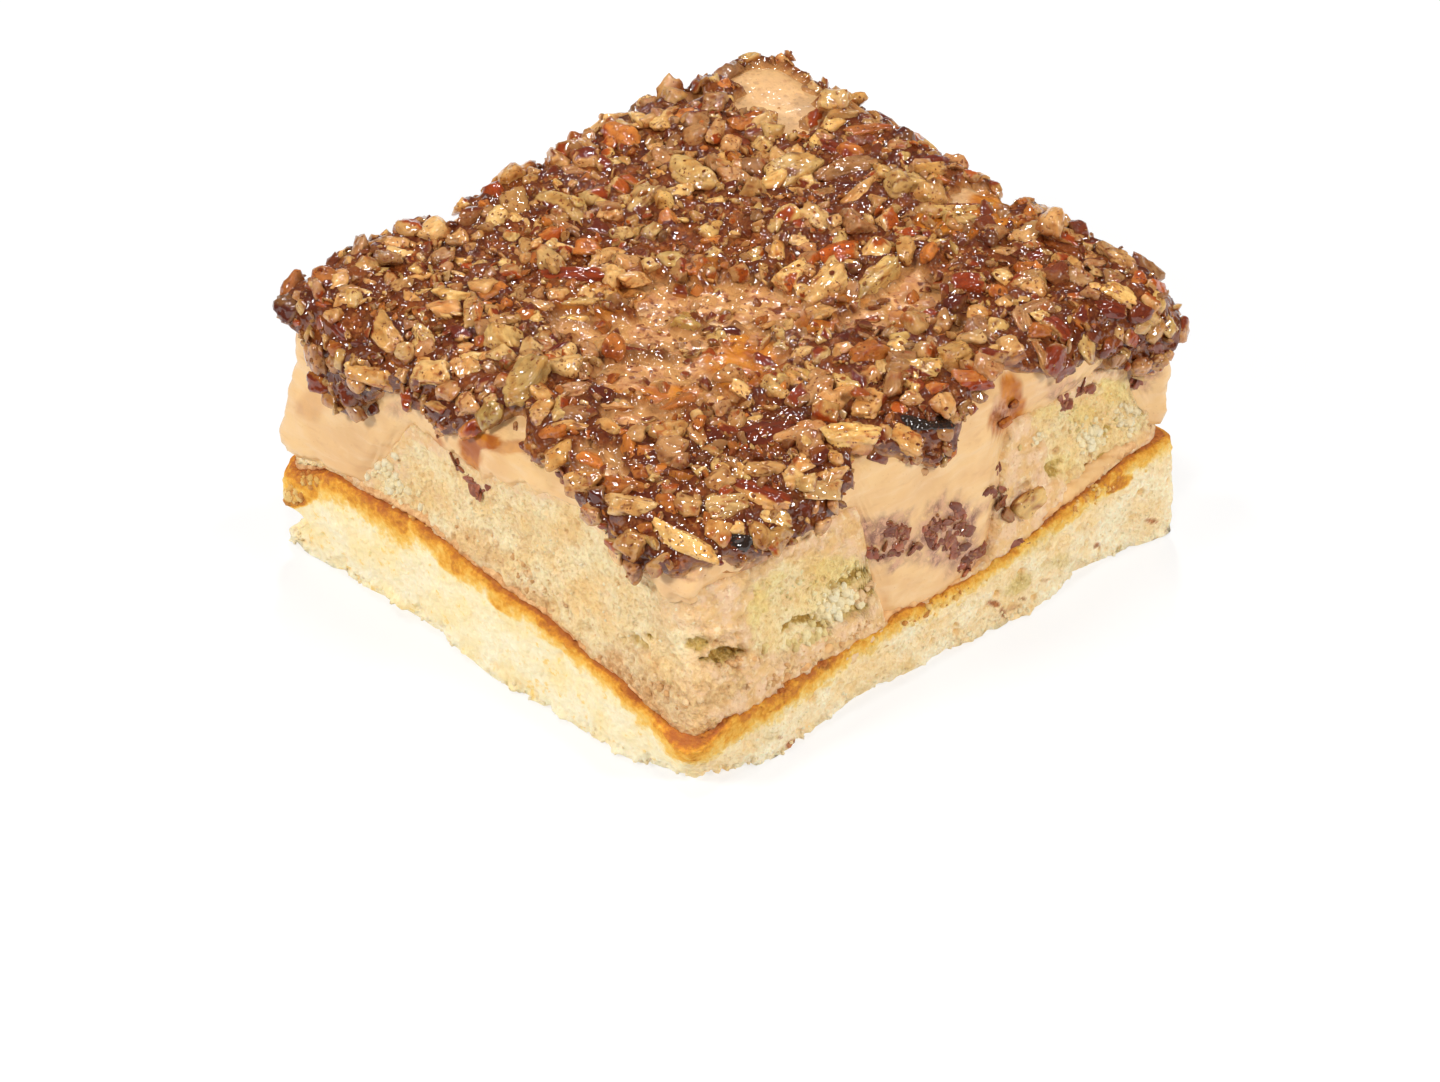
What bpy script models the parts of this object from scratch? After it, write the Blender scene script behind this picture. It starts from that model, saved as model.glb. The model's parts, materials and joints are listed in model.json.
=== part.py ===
"""A square portion of pecan layer cake, cut from a tray: sponge, caramel cream, sponge, caramel icing and a blanket of
chopped pecans. Millimetres are used for all sizes here and turned into metres when a mesh is made.

Frame: +Z up, the origin at the middle of the bounding box, on the surface that the cake rests on. X runs along the two
shorter cut sides and Y along the two longer ones. The corner at (+X, -Y) is the slumped one, where the base is thinnest.

Every layer is a closed surface. Its top and its underside are grids of cells, and its sides are rings of points that
join their edges. A place on the sides is named by its distance s round the cut rectangle, counted from the corner
(-X, -Y) along the side -Y, then +X, then +Y, then -X.
"""

import math

import bmesh
import bpy
from mathutils import Vector, noise

MM = 0.001

# the cut portion
WIDTH_X = 79.4
WIDTH_Y = 87.8
CELLS_X, CELLS_Y = 15, 17
COLUMNS = 2 * (CELLS_X + CELLS_Y)
GAP = 0.36  # clearance between two layers that touch
PECAN_GAP = 0.55  # and under the pecans, whose facets cross those of the icing

# heights of the layers
BASE_HIGH = 16.0  # the base sponge at its thick corners
BASE_SLUMP = 8.4  # how much lower its top is at the slumped corner
FILLING = 2.2  # the cream between the two sponges
SPONGE_TOP = 34.6  # top of the upper sponge, away from its sides
SPONGE_EDGE = 30.8  # and at its sides
ICING_TOP = 40.0
ICING_RISE = 1.0  # how much higher the icing lies at the corner (-X, +Y)
ICING_SLUMP = 4.4  # how much lower the icing lies at the slumped corner
PECANS = 3.4  # the pecan blanket on the flat
PECAN_HEM = 1.2  # and at its lower edge

# how far each layer stands in from the base's sides
SPONGE_INSET = 3.0
ICING_INNER = 2.6
ICING_FOOT = 0.8  # the icing's outer side, low down
ICING_SHOULDER = 1.7  # and from its shoulder up

# roundness of the four corners in plan, from (-X, -Y) anticlockwise: higher is sharper
CORNERS = (34.0, 30.0, 36.0, 20.0)

# where all layers stand out from or in from the straight cut: (middle s, half width, distance)
SIDE_SHIFTS = ((293.0, 34.0, 1.1), (226.0, 18.0, -0.9), (260.0, 12.0, -0.5))
# where the base alone stands out, at its corners: (middle s, half width, distance at its top, distance at its foot)
BASE_TIPS = ((0.0, 9.0, 0.2, 1.0), (79.4, 9.0, 1.6, 0.3), (167.2, 9.0, 0.5, 2.0))

# where the icing was pulled down over the cut side: (middle s, half width of the full drape, where it fades out, height it
# reaches, or None for all the way down to the base)
DRAPES = (
    (1.0, 14.0, 25.0, None),
    (123.5, 9.0, 15.5, None),
    (168.5, 3.5, 8.5, 18.0),
    (206.0, 13.0, 22.0, None),
    (247.0, 6.0, 13.0, 20.0),
    (292.0, 9.0, 17.0, None),
)
ICING_HEM = 29.2  # lower edge of the icing where it was cut clean
# where the sponge stands higher under the icing: (middle s, half width, extra height)
HIGH_SPONGE = ((54.0, 17.0, 4.4), (226.0, 12.0, 2.5), (268.0, 12.0, 2.0))

# lower edge of the pecans on the sides: its usual height, and places where it is pushed up or hangs down
PECAN_EDGE = 34.0
PECAN_SHIFTS = (
    (12.5, 11.0, -7.0),
    (44.0, 9.0, 5.0),
    (73.0, 13.0, -3.0),
    (95.0, 13.0, -3.0),
    (110.0, 8.0, 3.5),
    (123.0, 5.0, -2.5),
    (137.0, 12.0, 4.5),
    (163.0, 12.0, -6.0),
    (196.0, 14.0, 3.0),
    (222.0, 12.0, -3.0),
    (246.0, 10.0, 2.5),
    (270.0, 14.0, -3.5),
    (300.0, 12.0, 3.0),
    (323.0, 11.0, -3.0),
)

# the shoulder between top and sides, and places where it is broader: (middle s, half width, extra width, extra drop)
SHOULDER_WIDE = 3.6
SHOULDER_DROP = 3.4
SHOULDERS = (
    (38.0, 34.0, 5.0, 5.0),
    (82.0, 24.0, 7.0, 7.0),
    (122.0, 34.0, 3.5, 3.5),
    (205.0, 30.0, 2.0, 1.5),
    (292.0, 30.0, 2.0, 1.5),
)

HX, HY = WIDTH_X / 2, WIDTH_Y / 2
PERIMETER = 2 * (WIDTH_X + WIDTH_Y)


def clamp(t, low=0.0, high=1.0):
    return max(low, min(high, t))


def smooth(t):
    t = clamp(t)
    return t * t * (3 - 2 * t)


def away(s, middle):
    """Distance round the rectangle between two places on it."""
    d = abs(s - middle) % PERIMETER
    return min(d, PERIMETER - d)


def bump(s, middle, half_width):
    """1 at the middle, falling smoothly to 0 at half_width."""
    return smooth(1 - away(s, middle) / half_width)


def place(s):
    """The point of the cut rectangle at s, as (x, y)."""
    s %= PERIMETER
    if s < WIDTH_X:
        return -HX + s, -HY
    s -= WIDTH_X
    if s < WIDTH_Y:
        return HX, -HY + s
    s -= WIDTH_Y
    if s < WIDTH_X:
        return HX - s, HY
    return -HX, HY - (s - WIDTH_X)


def stations():
    found, start = [], 0.0
    for cells, width in ((CELLS_X, WIDTH_X), (CELLS_Y, WIDTH_Y), (CELLS_X, WIDTH_X), (CELLS_Y, WIDTH_Y)):
        found += [start + width * k / cells for k in range(cells)]
        start += width
    return found


S = stations()


def column(i, j):
    """The column that the grid point (i, j) belongs to, if it lies on the grid's edge."""
    if j == 0:
        return i
    if i == CELLS_X:
        return CELLS_X + j
    if j == CELLS_Y:
        return CELLS_X + CELLS_Y + CELLS_X - i
    if i == 0:
        return (2 * CELLS_X + CELLS_Y + CELLS_Y - j) % COLUMNS
    return None


def towards(x, y):
    """(m, s) of a point in the rectangle: its share of the way from the middle to the edge, and where it points to."""
    m = max(abs(x) / HX, abs(y) / HY)
    if m < 1e-9:
        return 0.0, 0.0
    px, py = x / m, y / m
    if py <= -HY + 1e-6:
        return m, px + HX
    if px >= HX - 1e-6:
        return m, WIDTH_X + py + HY
    if py >= HY - 1e-6:
        return m, WIDTH_X + WIDTH_Y + HX - px
    return m, 2 * WIDTH_X + WIDTH_Y + HY - py


def wobble(s, seed):
    """Unevenness of a cut side: a sum of waves that close round the cake."""
    turn = 2 * math.pi * s / PERIMETER
    return (
        0.42 * math.sin(3 * turn + 0.7 + seed)
        + 0.30 * math.sin(7 * turn + 2.1 + 1.7 * seed)
        + 0.22 * math.sin(13 * turn + 4.0 + 2.3 * seed)
    )


def drift(s):
    """How far the whole side at s was cut outside its straight line."""
    return sum(d * bump(s, c, w) for c, w, d in SIDE_SHIFTS)


def outline(s, inset=0.0, seed=0.0):
    """The layer's edge in plan in the direction of s: a rectangle whose corners are rounded as CORNERS says."""
    px, py = place(s)
    a, b = HX - inset, HY - inset
    corner = (0 if px < 0 else 1) if py < 0 else (3 if px < 0 else 2)
    n = CORNERS[corner]
    long = math.hypot(px, py)
    cx, cy = px / long, py / long
    r = (abs(cx / a) ** n + abs(cy / b) ** n) ** (-1 / n)
    r += wobble(s, seed) + drift(s)
    return cx * r, cy * r


def front(x, y):
    """0 over most of the cake, rising to 1 at the slumped corner."""
    c = (x / HX - y / HY) / 2
    return clamp((c - 0.42) / 0.58) ** 1.4


def base_top(x, y, s=0.0):
    along_x = clamp((x + 10) / 50)
    along_y = 1 - 0.97 * smooth(y / 42)
    worn = 4.2 * smooth(1 - math.hypot(x + HX, y + HY) / 12)
    return BASE_HIGH - BASE_SLUMP * along_x * along_y - 0.8 * smooth((-x - 10) / 30) * smooth((y + 10) / 30) - worn


def bed(x, y):
    """What the layers above the base follow: its top, bridged a little over the worn corner."""
    return base_top(x, y) + 0.9 * smooth(1 - math.hypot(x + HX, y + HY) / 18)


def from_side(x, y):
    """Distance in from the nearest side."""
    return min(HX - abs(x), HY - abs(y))


def high_sponge(s):
    return sum(extra * bump(s, c, w) for c, w, extra in HIGH_SPONGE)


def sponge_top(x, y, s):
    at_side = SPONGE_EDGE + high_sponge(s)
    inside = smooth(from_side(x, y) / 12)
    return at_side + (SPONGE_TOP - at_side) * inside - 2.2 * front(x, y) * inside


def sponge_foot(x, y, s=0.0):
    return bed(x, y) + 2 * GAP + FILLING


def icing_top(x, y, s=0.0):
    """The icing's upper surface: a little higher towards the corner (-X, +Y), and gently rolling."""
    far = clamp((y / HY - x / HX) / 2)
    roll = 0.55 * noise.noise(Vector((x / 23, y / 23, 3.1))) + 0.3 * noise.noise(Vector((x / 9, y / 9, 7.7)))
    return ICING_TOP + ICING_RISE * far - ICING_SLUMP * front(x, y) + roll


def icing_hem(s):
    crust = max(bed(*outline(s, inset)) for inset in (0.0, 1.5, 3.0))
    z = ICING_HEM + high_sponge(s) + 0.5 * math.sin(s / 4.3)
    for middle, full, fade, reach in DRAPES:
        low = crust + GAP + 0.25 if reach is None else reach
        share = smooth((fade - away(s, middle)) / (fade - full))
        z = min(z, z + (low - z) * share)
    return z


def pecan_hem(s):
    z = PECAN_EDGE + sum(d * bump(s, c, w) for c, w, d in PECAN_SHIFTS) + 0.7 * math.sin(s / 2.9)
    return max(z, icing_hem(s) + 1.6)


def shoulder(s):
    wide = SHOULDER_WIDE + sum(w * bump(s, c, h) for c, h, w, _ in SHOULDERS)
    drop = SHOULDER_DROP + sum(d * bump(s, c, h) for c, h, _, d in SHOULDERS)
    return wide, drop


def icing_inset(s, z):
    """How far the icing's outer side stands in at height z: less low down, and bulging at two corners."""
    low = smooth((33.0 - z) / 16.0)
    bulge = 1.2 * bump(s, 0.0, 18.0) * low + 1.3 * bump(s, WIDTH_X + WIDTH_Y, 10.0) * smooth((38.0 - z) / 5.0)
    return ICING_SHOULDER + (ICING_FOOT - ICING_SHOULDER) * low - bulge


def side_profile(s, hem, steps):
    """The icing's outer side at s, from the shoulder's start down to the height hem: points as (inset, height)."""
    wide, drop = shoulder(s)
    x, y = outline(s, wide)
    top = icing_top(x, y)
    power = 2 / 2.5
    line = []
    for k in range(25):
        phi = math.pi / 2 * k / 24
        line.append((wide * (1 - math.sin(phi) ** power), top - drop + drop * math.cos(phi) ** power))
    line.append((0.0, min(hem, top - drop) - 0.01))
    cut = [line[0]]
    for (i0, z0), (i1, z1) in zip(line, line[1:]):
        if z1 <= hem:
            t = clamp((z0 - hem) / max(z0 - z1, 1e-9))
            cut.append((i0 + (i1 - i0) * t, hem))
            break
        cut.append((i1, z1))
    lengths = [0.0]
    for (i0, z0), (i1, z1) in zip(cut, cut[1:]):
        lengths.append(lengths[-1] + math.hypot(i1 - i0, z1 - z0))
    points = []
    for k in range(steps + 1):
        at = lengths[-1] * k / steps
        j = next(n for n in range(1, len(cut)) if lengths[n] >= at - 1e-9)
        t = (at - lengths[j - 1]) / max(lengths[j] - lengths[j - 1], 1e-9)
        (i0, z0), (i1, z1) = cut[j - 1], cut[j]
        points.append((i0 + (i1 - i0) * t, z0 + (z1 - z0) * t))
    return points


def cap(height, inset, seed=0.0):
    """The points of a top or an underside, {(i, j): (x, y, z)}: inset is a number, or a function of s."""
    points = {}
    for i in range(CELLS_X + 1):
        for j in range(CELLS_Y + 1):
            m, s = towards(-HX + WIDTH_X * i / CELLS_X, -HY + WIDTH_Y * j / CELLS_Y)
            x, y = outline(s, inset(s) if callable(inset) else inset, seed)
            x, y = x * m, y * m
            points[i, j] = (x, y, height(x, y, s))
    return points


def icing_rings(hem, steps):
    """Rings of the icing's outer side from just below the shoulder's start down to the height hem(s)."""
    profiles = [side_profile(s, hem(s), steps) for s in S]
    rings = []
    for k in range(1, steps + 1):
        points = []
        for s, profile in zip(S, profiles):
            inset, z = profile[k]
            points.append((*outline(s, inset + icing_inset(s, z)), z))
        rings.append(points)
    return rings


def icing_cap():
    return cap(icing_top, lambda s: shoulder(s)[0] + icing_inset(s, ICING_TOP))


def add_cap(bm, points):
    """Adds a grid's vertices and faces to bm, and returns the vertices, with those of its edge as a ring."""
    verts = {key: bm.verts.new(Vector(p) * MM) for key, p in points.items()}
    for i in range(CELLS_X):
        for j in range(CELLS_Y):
            bm.faces.new((verts[i, j], verts[i + 1, j], verts[i + 1, j + 1], verts[i, j + 1]))
    edge = [None] * COLUMNS
    for (i, j), v in verts.items():
        k = column(i, j)
        if k is not None:
            edge[k] = v
    return verts, edge


def add_sides(bm, edge, rings):
    """Joins the ring of vertices edge to each of the rings of points in turn, and returns the last one."""
    for points in rings:
        after = [p if isinstance(p, bmesh.types.BMVert) else bm.verts.new(Vector(p) * MM) for p in points]
        for k in range(COLUMNS):
            n = (k + 1) % COLUMNS
            bm.faces.new((edge[k], after[k], after[n], edge[n]))
        edge = after
    return edge


def finished(name, bm, colour, roughness):
    bmesh.ops.recalc_face_normals(bm, faces=bm.faces)
    bmesh.ops.triangulate(bm, faces=bm.faces, quad_method="BEAUTY")
    mesh = bpy.data.meshes.new(name)
    bm.to_mesh(mesh)
    bm.free()
    mesh.shade_smooth()
    mesh.set_sharp_from_angle(angle=math.radians(50))
    obj = bpy.data.objects.new(name, mesh)
    bpy.context.scene.collection.objects.link(obj)
    material = bpy.data.materials.new(name)
    material.use_nodes = True
    shader = material.node_tree.nodes["Principled BSDF"]
    shader.inputs["Base Color"].default_value = (*colour, 1.0)
    shader.inputs["Roughness"].default_value = roughness
    shader.inputs["Metallic"].default_value = 0.0
    mesh.materials.append(material)
    return obj


def layer(name, top, rings, bottom, colour, roughness):
    """A closed body: a top, the rings of its sides from the top down, and an underside."""
    bm = bmesh.new()
    _, upper = add_cap(bm, top)
    _, lower = add_cap(bm, bottom)
    add_sides(bm, upper, [*rings, lower])
    return finished(name, bm, colour, roughness)


def base_sponge():
    """The bottom sponge: thick at three corners, thin at the slumped one, undercut below that corner, with a torn notch at the
    corner (-X, -Y) and a lifted stretch under the side +X."""
    rings = []
    for level in (0.97, 0.82, 0.6, 0.38, 0.18, 0.0):
        points = []
        for s in S:
            corner = bump(s, WIDTH_X, 15.0)
            under = (3.0 * corner + 1.0) * (1 - level) ** 1.6
            notch = 2.8 * bump(s, 0.0, 7.0) * math.exp(-(((level - 0.3) / 0.14) ** 2))
            tip = sum((low + (high - low) * level) * bump(s, c, w) for c, w, high, low in BASE_TIPS)
            x, y = outline(s, under + notch - tip)
            foot = 0.25 + 2.0 * bump(s, WIDTH_X + HY + 28, 8.0) + 0.7 * corner + 1.3 * bump(s, 24.0, 20.0)
            points.append((x, y, foot + (base_top(x, y) - foot) * level))
        rings.append(points)
    top = cap(base_top, 0.8)
    return layer("base_sponge", top, rings, cap(lambda x, y, s: 0.0, 5.5), (0.88, 0.70, 0.33), 0.9)


def cream_filling():
    lower = lambda x, y, s: bed(x, y) + GAP
    upper = lambda x, y, s: bed(x, y) + GAP + FILLING
    middle = [(*outline(s, SPONGE_INSET - 0.3, 0.4), bed(*outline(s, SPONGE_INSET, 0.4)) + GAP + FILLING / 2) for s in S]
    return layer(
        "cream_filling",
        cap(upper, SPONGE_INSET, 0.4),
        [middle],
        cap(lower, SPONGE_INSET, 0.4),
        (0.72, 0.47, 0.27),
        0.5,
    )


def upper_sponge():
    rings = []
    for level in (0.75, 0.5, 0.25):
        points = []
        for s in S:
            x, y = outline(s, SPONGE_INSET - 0.2 * math.sin(level * math.pi), 0.4)
            points.append((x, y, sponge_foot(x, y) + (sponge_top(x, y, s) - sponge_foot(x, y)) * level))
        rings.append(points)
    return layer(
        "upper_sponge",
        cap(sponge_top, SPONGE_INSET, 0.4),
        rings,
        cap(sponge_foot, SPONGE_INSET, 0.4),
        (0.80, 0.62, 0.36),
        0.9,
    )


def caramel_icing():
    """The icing: a layer over the top that comes down over the cut sides in drapes."""
    under = cap(lambda x, y, s: sponge_top(x, y, s) + GAP, ICING_INNER, 0.4)
    inner = []
    for share in (0.0, 0.5):
        points = []
        for s in S:
            x, y = outline(s, ICING_INNER, 0.4)
            low, high = icing_hem(s) + 0.15, sponge_top(x, y, s) + GAP
            points.append((x, y, low + (high - low) * share))
        inner.append(points)
    return layer("caramel_icing", icing_cap(), icing_rings(icing_hem, 6) + inner, under, (0.86, 0.62, 0.37), 0.35)


def pecan_topping():
    """The chopped pecans in their syrup, out to their uneven outline, as one blanket that follows the icing."""
    steps = 5
    skin = bmesh.new()
    _, edge = add_cap(skin, icing_cap())
    depth = {v: 0.0 for v in skin.verts}
    before = set(skin.verts)
    for n, points in enumerate(icing_rings(pecan_hem, steps)):
        edge = add_sides(skin, edge, [points])
        for v in set(skin.verts) - before:
            depth[v] = (n + 1) / steps
        before = set(skin.verts)
    bmesh.ops.recalc_face_normals(skin, faces=skin.faces)
    skin.normal_update()
    if sum(v.normal.z for v in skin.verts) < 0:
        bmesh.ops.reverse_faces(skin, faces=skin.faces)
        skin.normal_update()
    bm = bmesh.new()
    pairs = {}
    for v in skin.verts:
        p, normal = v.co / MM, v.normal.copy()
        normal.z = max(normal.z, 0.0)
        normal.normalize()
        down = smooth(depth[v])
        lumps = 0.8 * noise.noise(p / 4.6) + 0.5 * noise.noise(p / 8.3 + Vector((5, 1, 2)))
        thick = PECANS + (PECAN_HEM - PECANS) * down + lumps * (1 - 0.6 * down)
        pairs[v] = (
            bm.verts.new((p + normal * (PECAN_GAP + max(0.9, thick))) * MM),
            bm.verts.new((p + normal * PECAN_GAP) * MM),
        )
    for f in skin.faces:
        bm.faces.new([pairs[v][0] for v in f.verts])
        bm.faces.new([pairs[v][1] for v in reversed(f.verts)])
    for k in range(COLUMNS):
        a, b = pairs[edge[k]], pairs[edge[(k + 1) % COLUMNS]]
        bm.faces.new((a[0], a[1], b[1], b[0]))
    skin.free()
    return finished("pecan_topping", bm, (0.45, 0.24, 0.11), 0.35)


for old in list(bpy.data.objects):
    bpy.data.objects.remove(old)

layers = [base_sponge(), cream_filling(), upper_sponge(), caramel_icing(), pecan_topping()]

# the origin goes to the middle of the bounding box, at its foot
low = [min(v.co[i] for o in layers for v in o.data.vertices) for i in range(3)]
high = [max(v.co[i] for o in layers for v in o.data.vertices) for i in range(3)]
shift = Vector((-(low[0] + high[0]) / 2, -(low[1] + high[1]) / 2, -low[2]))
for o in layers:
    for v in o.data.vertices:
        v.co += shift
    o.data.update()
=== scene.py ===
"""The looks of a square portion of pecan layer cake: sponge crumb with a browned crust, soaked crumb and cream between the
layers, spread caramel icing, and chopped pecans in syrup. Shapes are worked out in millimetres, in the same way as the
solids they stand for, and every piece stays where its solid is.
"""

import json
import math

import bmesh
import bpy
import numpy as np
from mathutils import Matrix, Vector, noise
from mathutils.bvhtree import BVHTree

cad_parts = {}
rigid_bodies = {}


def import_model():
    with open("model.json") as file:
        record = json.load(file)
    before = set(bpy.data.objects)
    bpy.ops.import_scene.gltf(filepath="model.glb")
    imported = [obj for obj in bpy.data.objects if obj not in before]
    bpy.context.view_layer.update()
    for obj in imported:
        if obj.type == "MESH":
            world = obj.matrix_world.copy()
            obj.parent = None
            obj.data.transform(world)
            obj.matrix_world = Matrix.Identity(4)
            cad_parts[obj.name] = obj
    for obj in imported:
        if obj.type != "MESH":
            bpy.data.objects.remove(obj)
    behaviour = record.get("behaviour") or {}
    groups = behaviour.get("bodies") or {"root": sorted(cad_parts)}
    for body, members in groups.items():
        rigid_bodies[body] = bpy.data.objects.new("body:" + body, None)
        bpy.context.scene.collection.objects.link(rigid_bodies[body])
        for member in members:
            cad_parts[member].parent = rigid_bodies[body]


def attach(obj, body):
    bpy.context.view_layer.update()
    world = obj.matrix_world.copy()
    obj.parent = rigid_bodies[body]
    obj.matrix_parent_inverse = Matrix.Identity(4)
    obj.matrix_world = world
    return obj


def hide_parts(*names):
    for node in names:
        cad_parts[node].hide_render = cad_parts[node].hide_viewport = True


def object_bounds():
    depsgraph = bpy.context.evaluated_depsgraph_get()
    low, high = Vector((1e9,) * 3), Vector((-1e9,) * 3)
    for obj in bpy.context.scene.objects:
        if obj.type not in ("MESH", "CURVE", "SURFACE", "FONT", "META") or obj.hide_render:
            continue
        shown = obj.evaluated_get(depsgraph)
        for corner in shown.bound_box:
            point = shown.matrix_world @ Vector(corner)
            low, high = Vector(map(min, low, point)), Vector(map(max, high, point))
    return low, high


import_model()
cad_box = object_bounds()

MM = 0.001

# ---------------------------------------------------------------------------------------------------------------------
# the shape of the cake, in millimetres. s runs round the cut sides from the corner (-X, -Y), anticlockwise
# ---------------------------------------------------------------------------------------------------------------------

WIDTH_X, WIDTH_Y = 79.4, 87.8
HX, HY = WIDTH_X / 2, WIDTH_Y / 2
PERIMETER = 2 * (WIDTH_X + WIDTH_Y)
SHIFT = np.array([0.291, 0.3336, 0.0])  # from the rectangle's middle to the middle of the whole cake
GAP = 0.36
BASE_HIGH, BASE_SLUMP = 16.0, 8.4
FILLING = 2.2
SPONGE_TOP, SPONGE_EDGE = 34.6, 30.8
ICING_TOP, ICING_RISE, ICING_SLUMP = 40.0, 1.0, 4.4
ICING_FOOT, ICING_SHOULDER = 0.8, 1.7
CORNERS = (34.0, 30.0, 36.0, 20.0)
SIDE_SHIFTS = ((293.0, 34.0, 1.1), (226.0, 18.0, -0.9), (260.0, 12.0, -0.5))
BASE_TIPS = ((0.0, 9.0, 0.2, 1.0), (79.4, 9.0, 1.6, 0.3), (167.2, 9.0, 0.5, 2.0))
DRAPES = (
    (1.0, 14.0, 25.0, None),
    (123.5, 9.0, 15.5, None),
    (168.5, 3.5, 8.5, 18.0),
    (206.0, 13.0, 22.0, None),
    (247.0, 6.0, 13.0, 20.0),
    (292.0, 9.0, 17.0, None),
)
ICING_HEM = 29.2
HIGH_SPONGE = ((54.0, 17.0, 4.4), (226.0, 12.0, 2.5), (268.0, 12.0, 2.0))
PECAN_EDGE = 34.0
PECAN_SHIFTS = (
    (12.5, 11.0, -7.0),
    (44.0, 9.0, 5.0),
    (73.0, 13.0, -3.0),
    (95.0, 13.0, -3.0),
    (110.0, 8.0, 3.5),
    (123.0, 5.0, -2.5),
    (137.0, 12.0, 4.5),
    (163.0, 12.0, -6.0),
    (196.0, 14.0, 3.0),
    (222.0, 12.0, -3.0),
    (246.0, 10.0, 2.5),
    (270.0, 14.0, -3.5),
    (300.0, 12.0, 3.0),
    (323.0, 11.0, -3.0),
)
SHOULDER_WIDE, SHOULDER_DROP = 3.6, 3.4
SHOULDERS = (
    (38.0, 34.0, 5.0, 5.0),
    (82.0, 24.0, 7.0, 7.0),
    (122.0, 34.0, 3.5, 3.5),
    (205.0, 30.0, 2.0, 1.5),
    (292.0, 30.0, 2.0, 1.5),
)


def smooth(t):
    t = np.clip(t, 0.0, 1.0)
    return t * t * (3 - 2 * t)


def away(s, middle):
    d = np.abs(s - middle) % PERIMETER
    return np.minimum(d, PERIMETER - d)


def bump(s, middle, half_width):
    return smooth(1 - away(s, middle) / half_width)


def place(s):
    s = np.asarray(s, float) % PERIMETER
    a, b, c = WIDTH_X, WIDTH_X + WIDTH_Y, 2 * WIDTH_X + WIDTH_Y
    x = np.select([s < a, s < b, s < c], [-HX + s, HX + 0 * s, HX - (s - b)], -HX)
    y = np.select([s < a, s < b, s < c], [-HY + 0 * s, -HY + (s - a), HY + 0 * s], HY - (s - c))
    return x, y


def towards(x, y):
    """(share of the way from the middle to the edge, s) of points in the rectangle."""
    m = np.maximum(np.maximum(np.abs(x) / HX, np.abs(y) / HY), 1e-9)
    px, py = x / m, y / m
    s = np.select(
        [py <= -HY + 1e-6, px >= HX - 1e-6, py >= HY - 1e-6],
        [px + HX, WIDTH_X + py + HY, WIDTH_X + WIDTH_Y + HX - px],
        2 * WIDTH_X + WIDTH_Y + HY - py,
    )
    return np.where(m < 1e-8, 0.0, m), s


def outline(s, inset=0.0, seed=0.0):
    px, py = place(s)
    a, b = HX - inset, HY - inset
    n = np.where(
        py < 0, np.where(px < 0, CORNERS[0], CORNERS[1]), np.where(px < 0, CORNERS[3], CORNERS[2])
    )
    long = np.hypot(px, py)
    cx, cy = px / long, py / long
    r = (np.abs(cx / a) ** n + np.abs(cy / b) ** n) ** (-1 / n)
    turn = 2 * math.pi * np.asarray(s, float) / PERIMETER
    r = r + (
        0.42 * np.sin(3 * turn + 0.7 + seed)
        + 0.30 * np.sin(7 * turn + 2.1 + 1.7 * seed)
        + 0.22 * np.sin(13 * turn + 4.0 + 2.3 * seed)
    )
    for c, w, d in SIDE_SHIFTS:
        r = r + d * bump(s, c, w)
    return cx * r, cy * r


def front(x, y):
    return np.clip(((x / HX - y / HY) / 2 - 0.42) / 0.58, 0, 1) ** 1.4


def base_top(x, y):
    along_x = np.clip((x + 10) / 50, 0, 1)
    along_y = 1 - 0.97 * smooth(y / 42)
    worn = 4.2 * smooth(1 - np.hypot(x + HX, y + HY) / 12)
    return BASE_HIGH - BASE_SLUMP * along_x * along_y - 0.8 * smooth((-x - 10) / 30) * smooth((y + 10) / 30) - worn


def bed(x, y):
    return base_top(x, y) + 0.9 * smooth(1 - np.hypot(x + HX, y + HY) / 18)


def high_sponge(s):
    return sum(extra * bump(s, c, w) for c, w, extra in HIGH_SPONGE)


def sponge_top(x, y, s):
    at_side = SPONGE_EDGE + high_sponge(s)
    inside = smooth(np.minimum(HX - np.abs(x), HY - np.abs(y)) / 12)
    return at_side + (SPONGE_TOP - at_side) * inside - 2.2 * front(x, y) * inside


def rolling(x, y):
    """The gentle waves of the icing's top."""
    flat = np.broadcast_arrays(x, y)
    xs, ys = flat[0].ravel(), flat[1].ravel()
    out = np.array(
        [
            0.55 * noise.noise(Vector((a / 23, b / 23, 3.1))) + 0.3 * noise.noise(Vector((a / 9, b / 9, 7.7)))
            for a, b in zip(xs.tolist(), ys.tolist())
        ]
    )
    return out.reshape(flat[0].shape)


def icing_top(x, y):
    far = np.clip((y / HY - x / HX) / 2, 0, 1)
    return ICING_TOP + ICING_RISE * far - ICING_SLUMP * front(x, y) + rolling(x, y)


def icing_hem(s):
    crust = np.maximum.reduce([bed(*outline(s, inset)) for inset in (0.0, 1.5, 3.0)])
    z = ICING_HEM + high_sponge(s) + 0.5 * np.sin(s / 4.3)
    for middle, full, fade, reach in DRAPES:
        low = crust + GAP + 0.25 if reach is None else reach
        share = smooth((fade - away(s, middle)) / (fade - full))
        z = np.minimum(z, z + (low - z) * share)
    return z


def pecan_hem(s):
    z = PECAN_EDGE + sum(d * bump(s, c, w) for c, w, d in PECAN_SHIFTS) + 0.7 * np.sin(s / 2.9)
    return np.maximum(z, icing_hem(s) + 1.6)


def shoulder(s):
    wide = SHOULDER_WIDE + sum(w * bump(s, c, h) for c, h, w, _ in SHOULDERS)
    drop = SHOULDER_DROP + sum(d * bump(s, c, h) for c, h, _, d in SHOULDERS)
    return wide, drop


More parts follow.
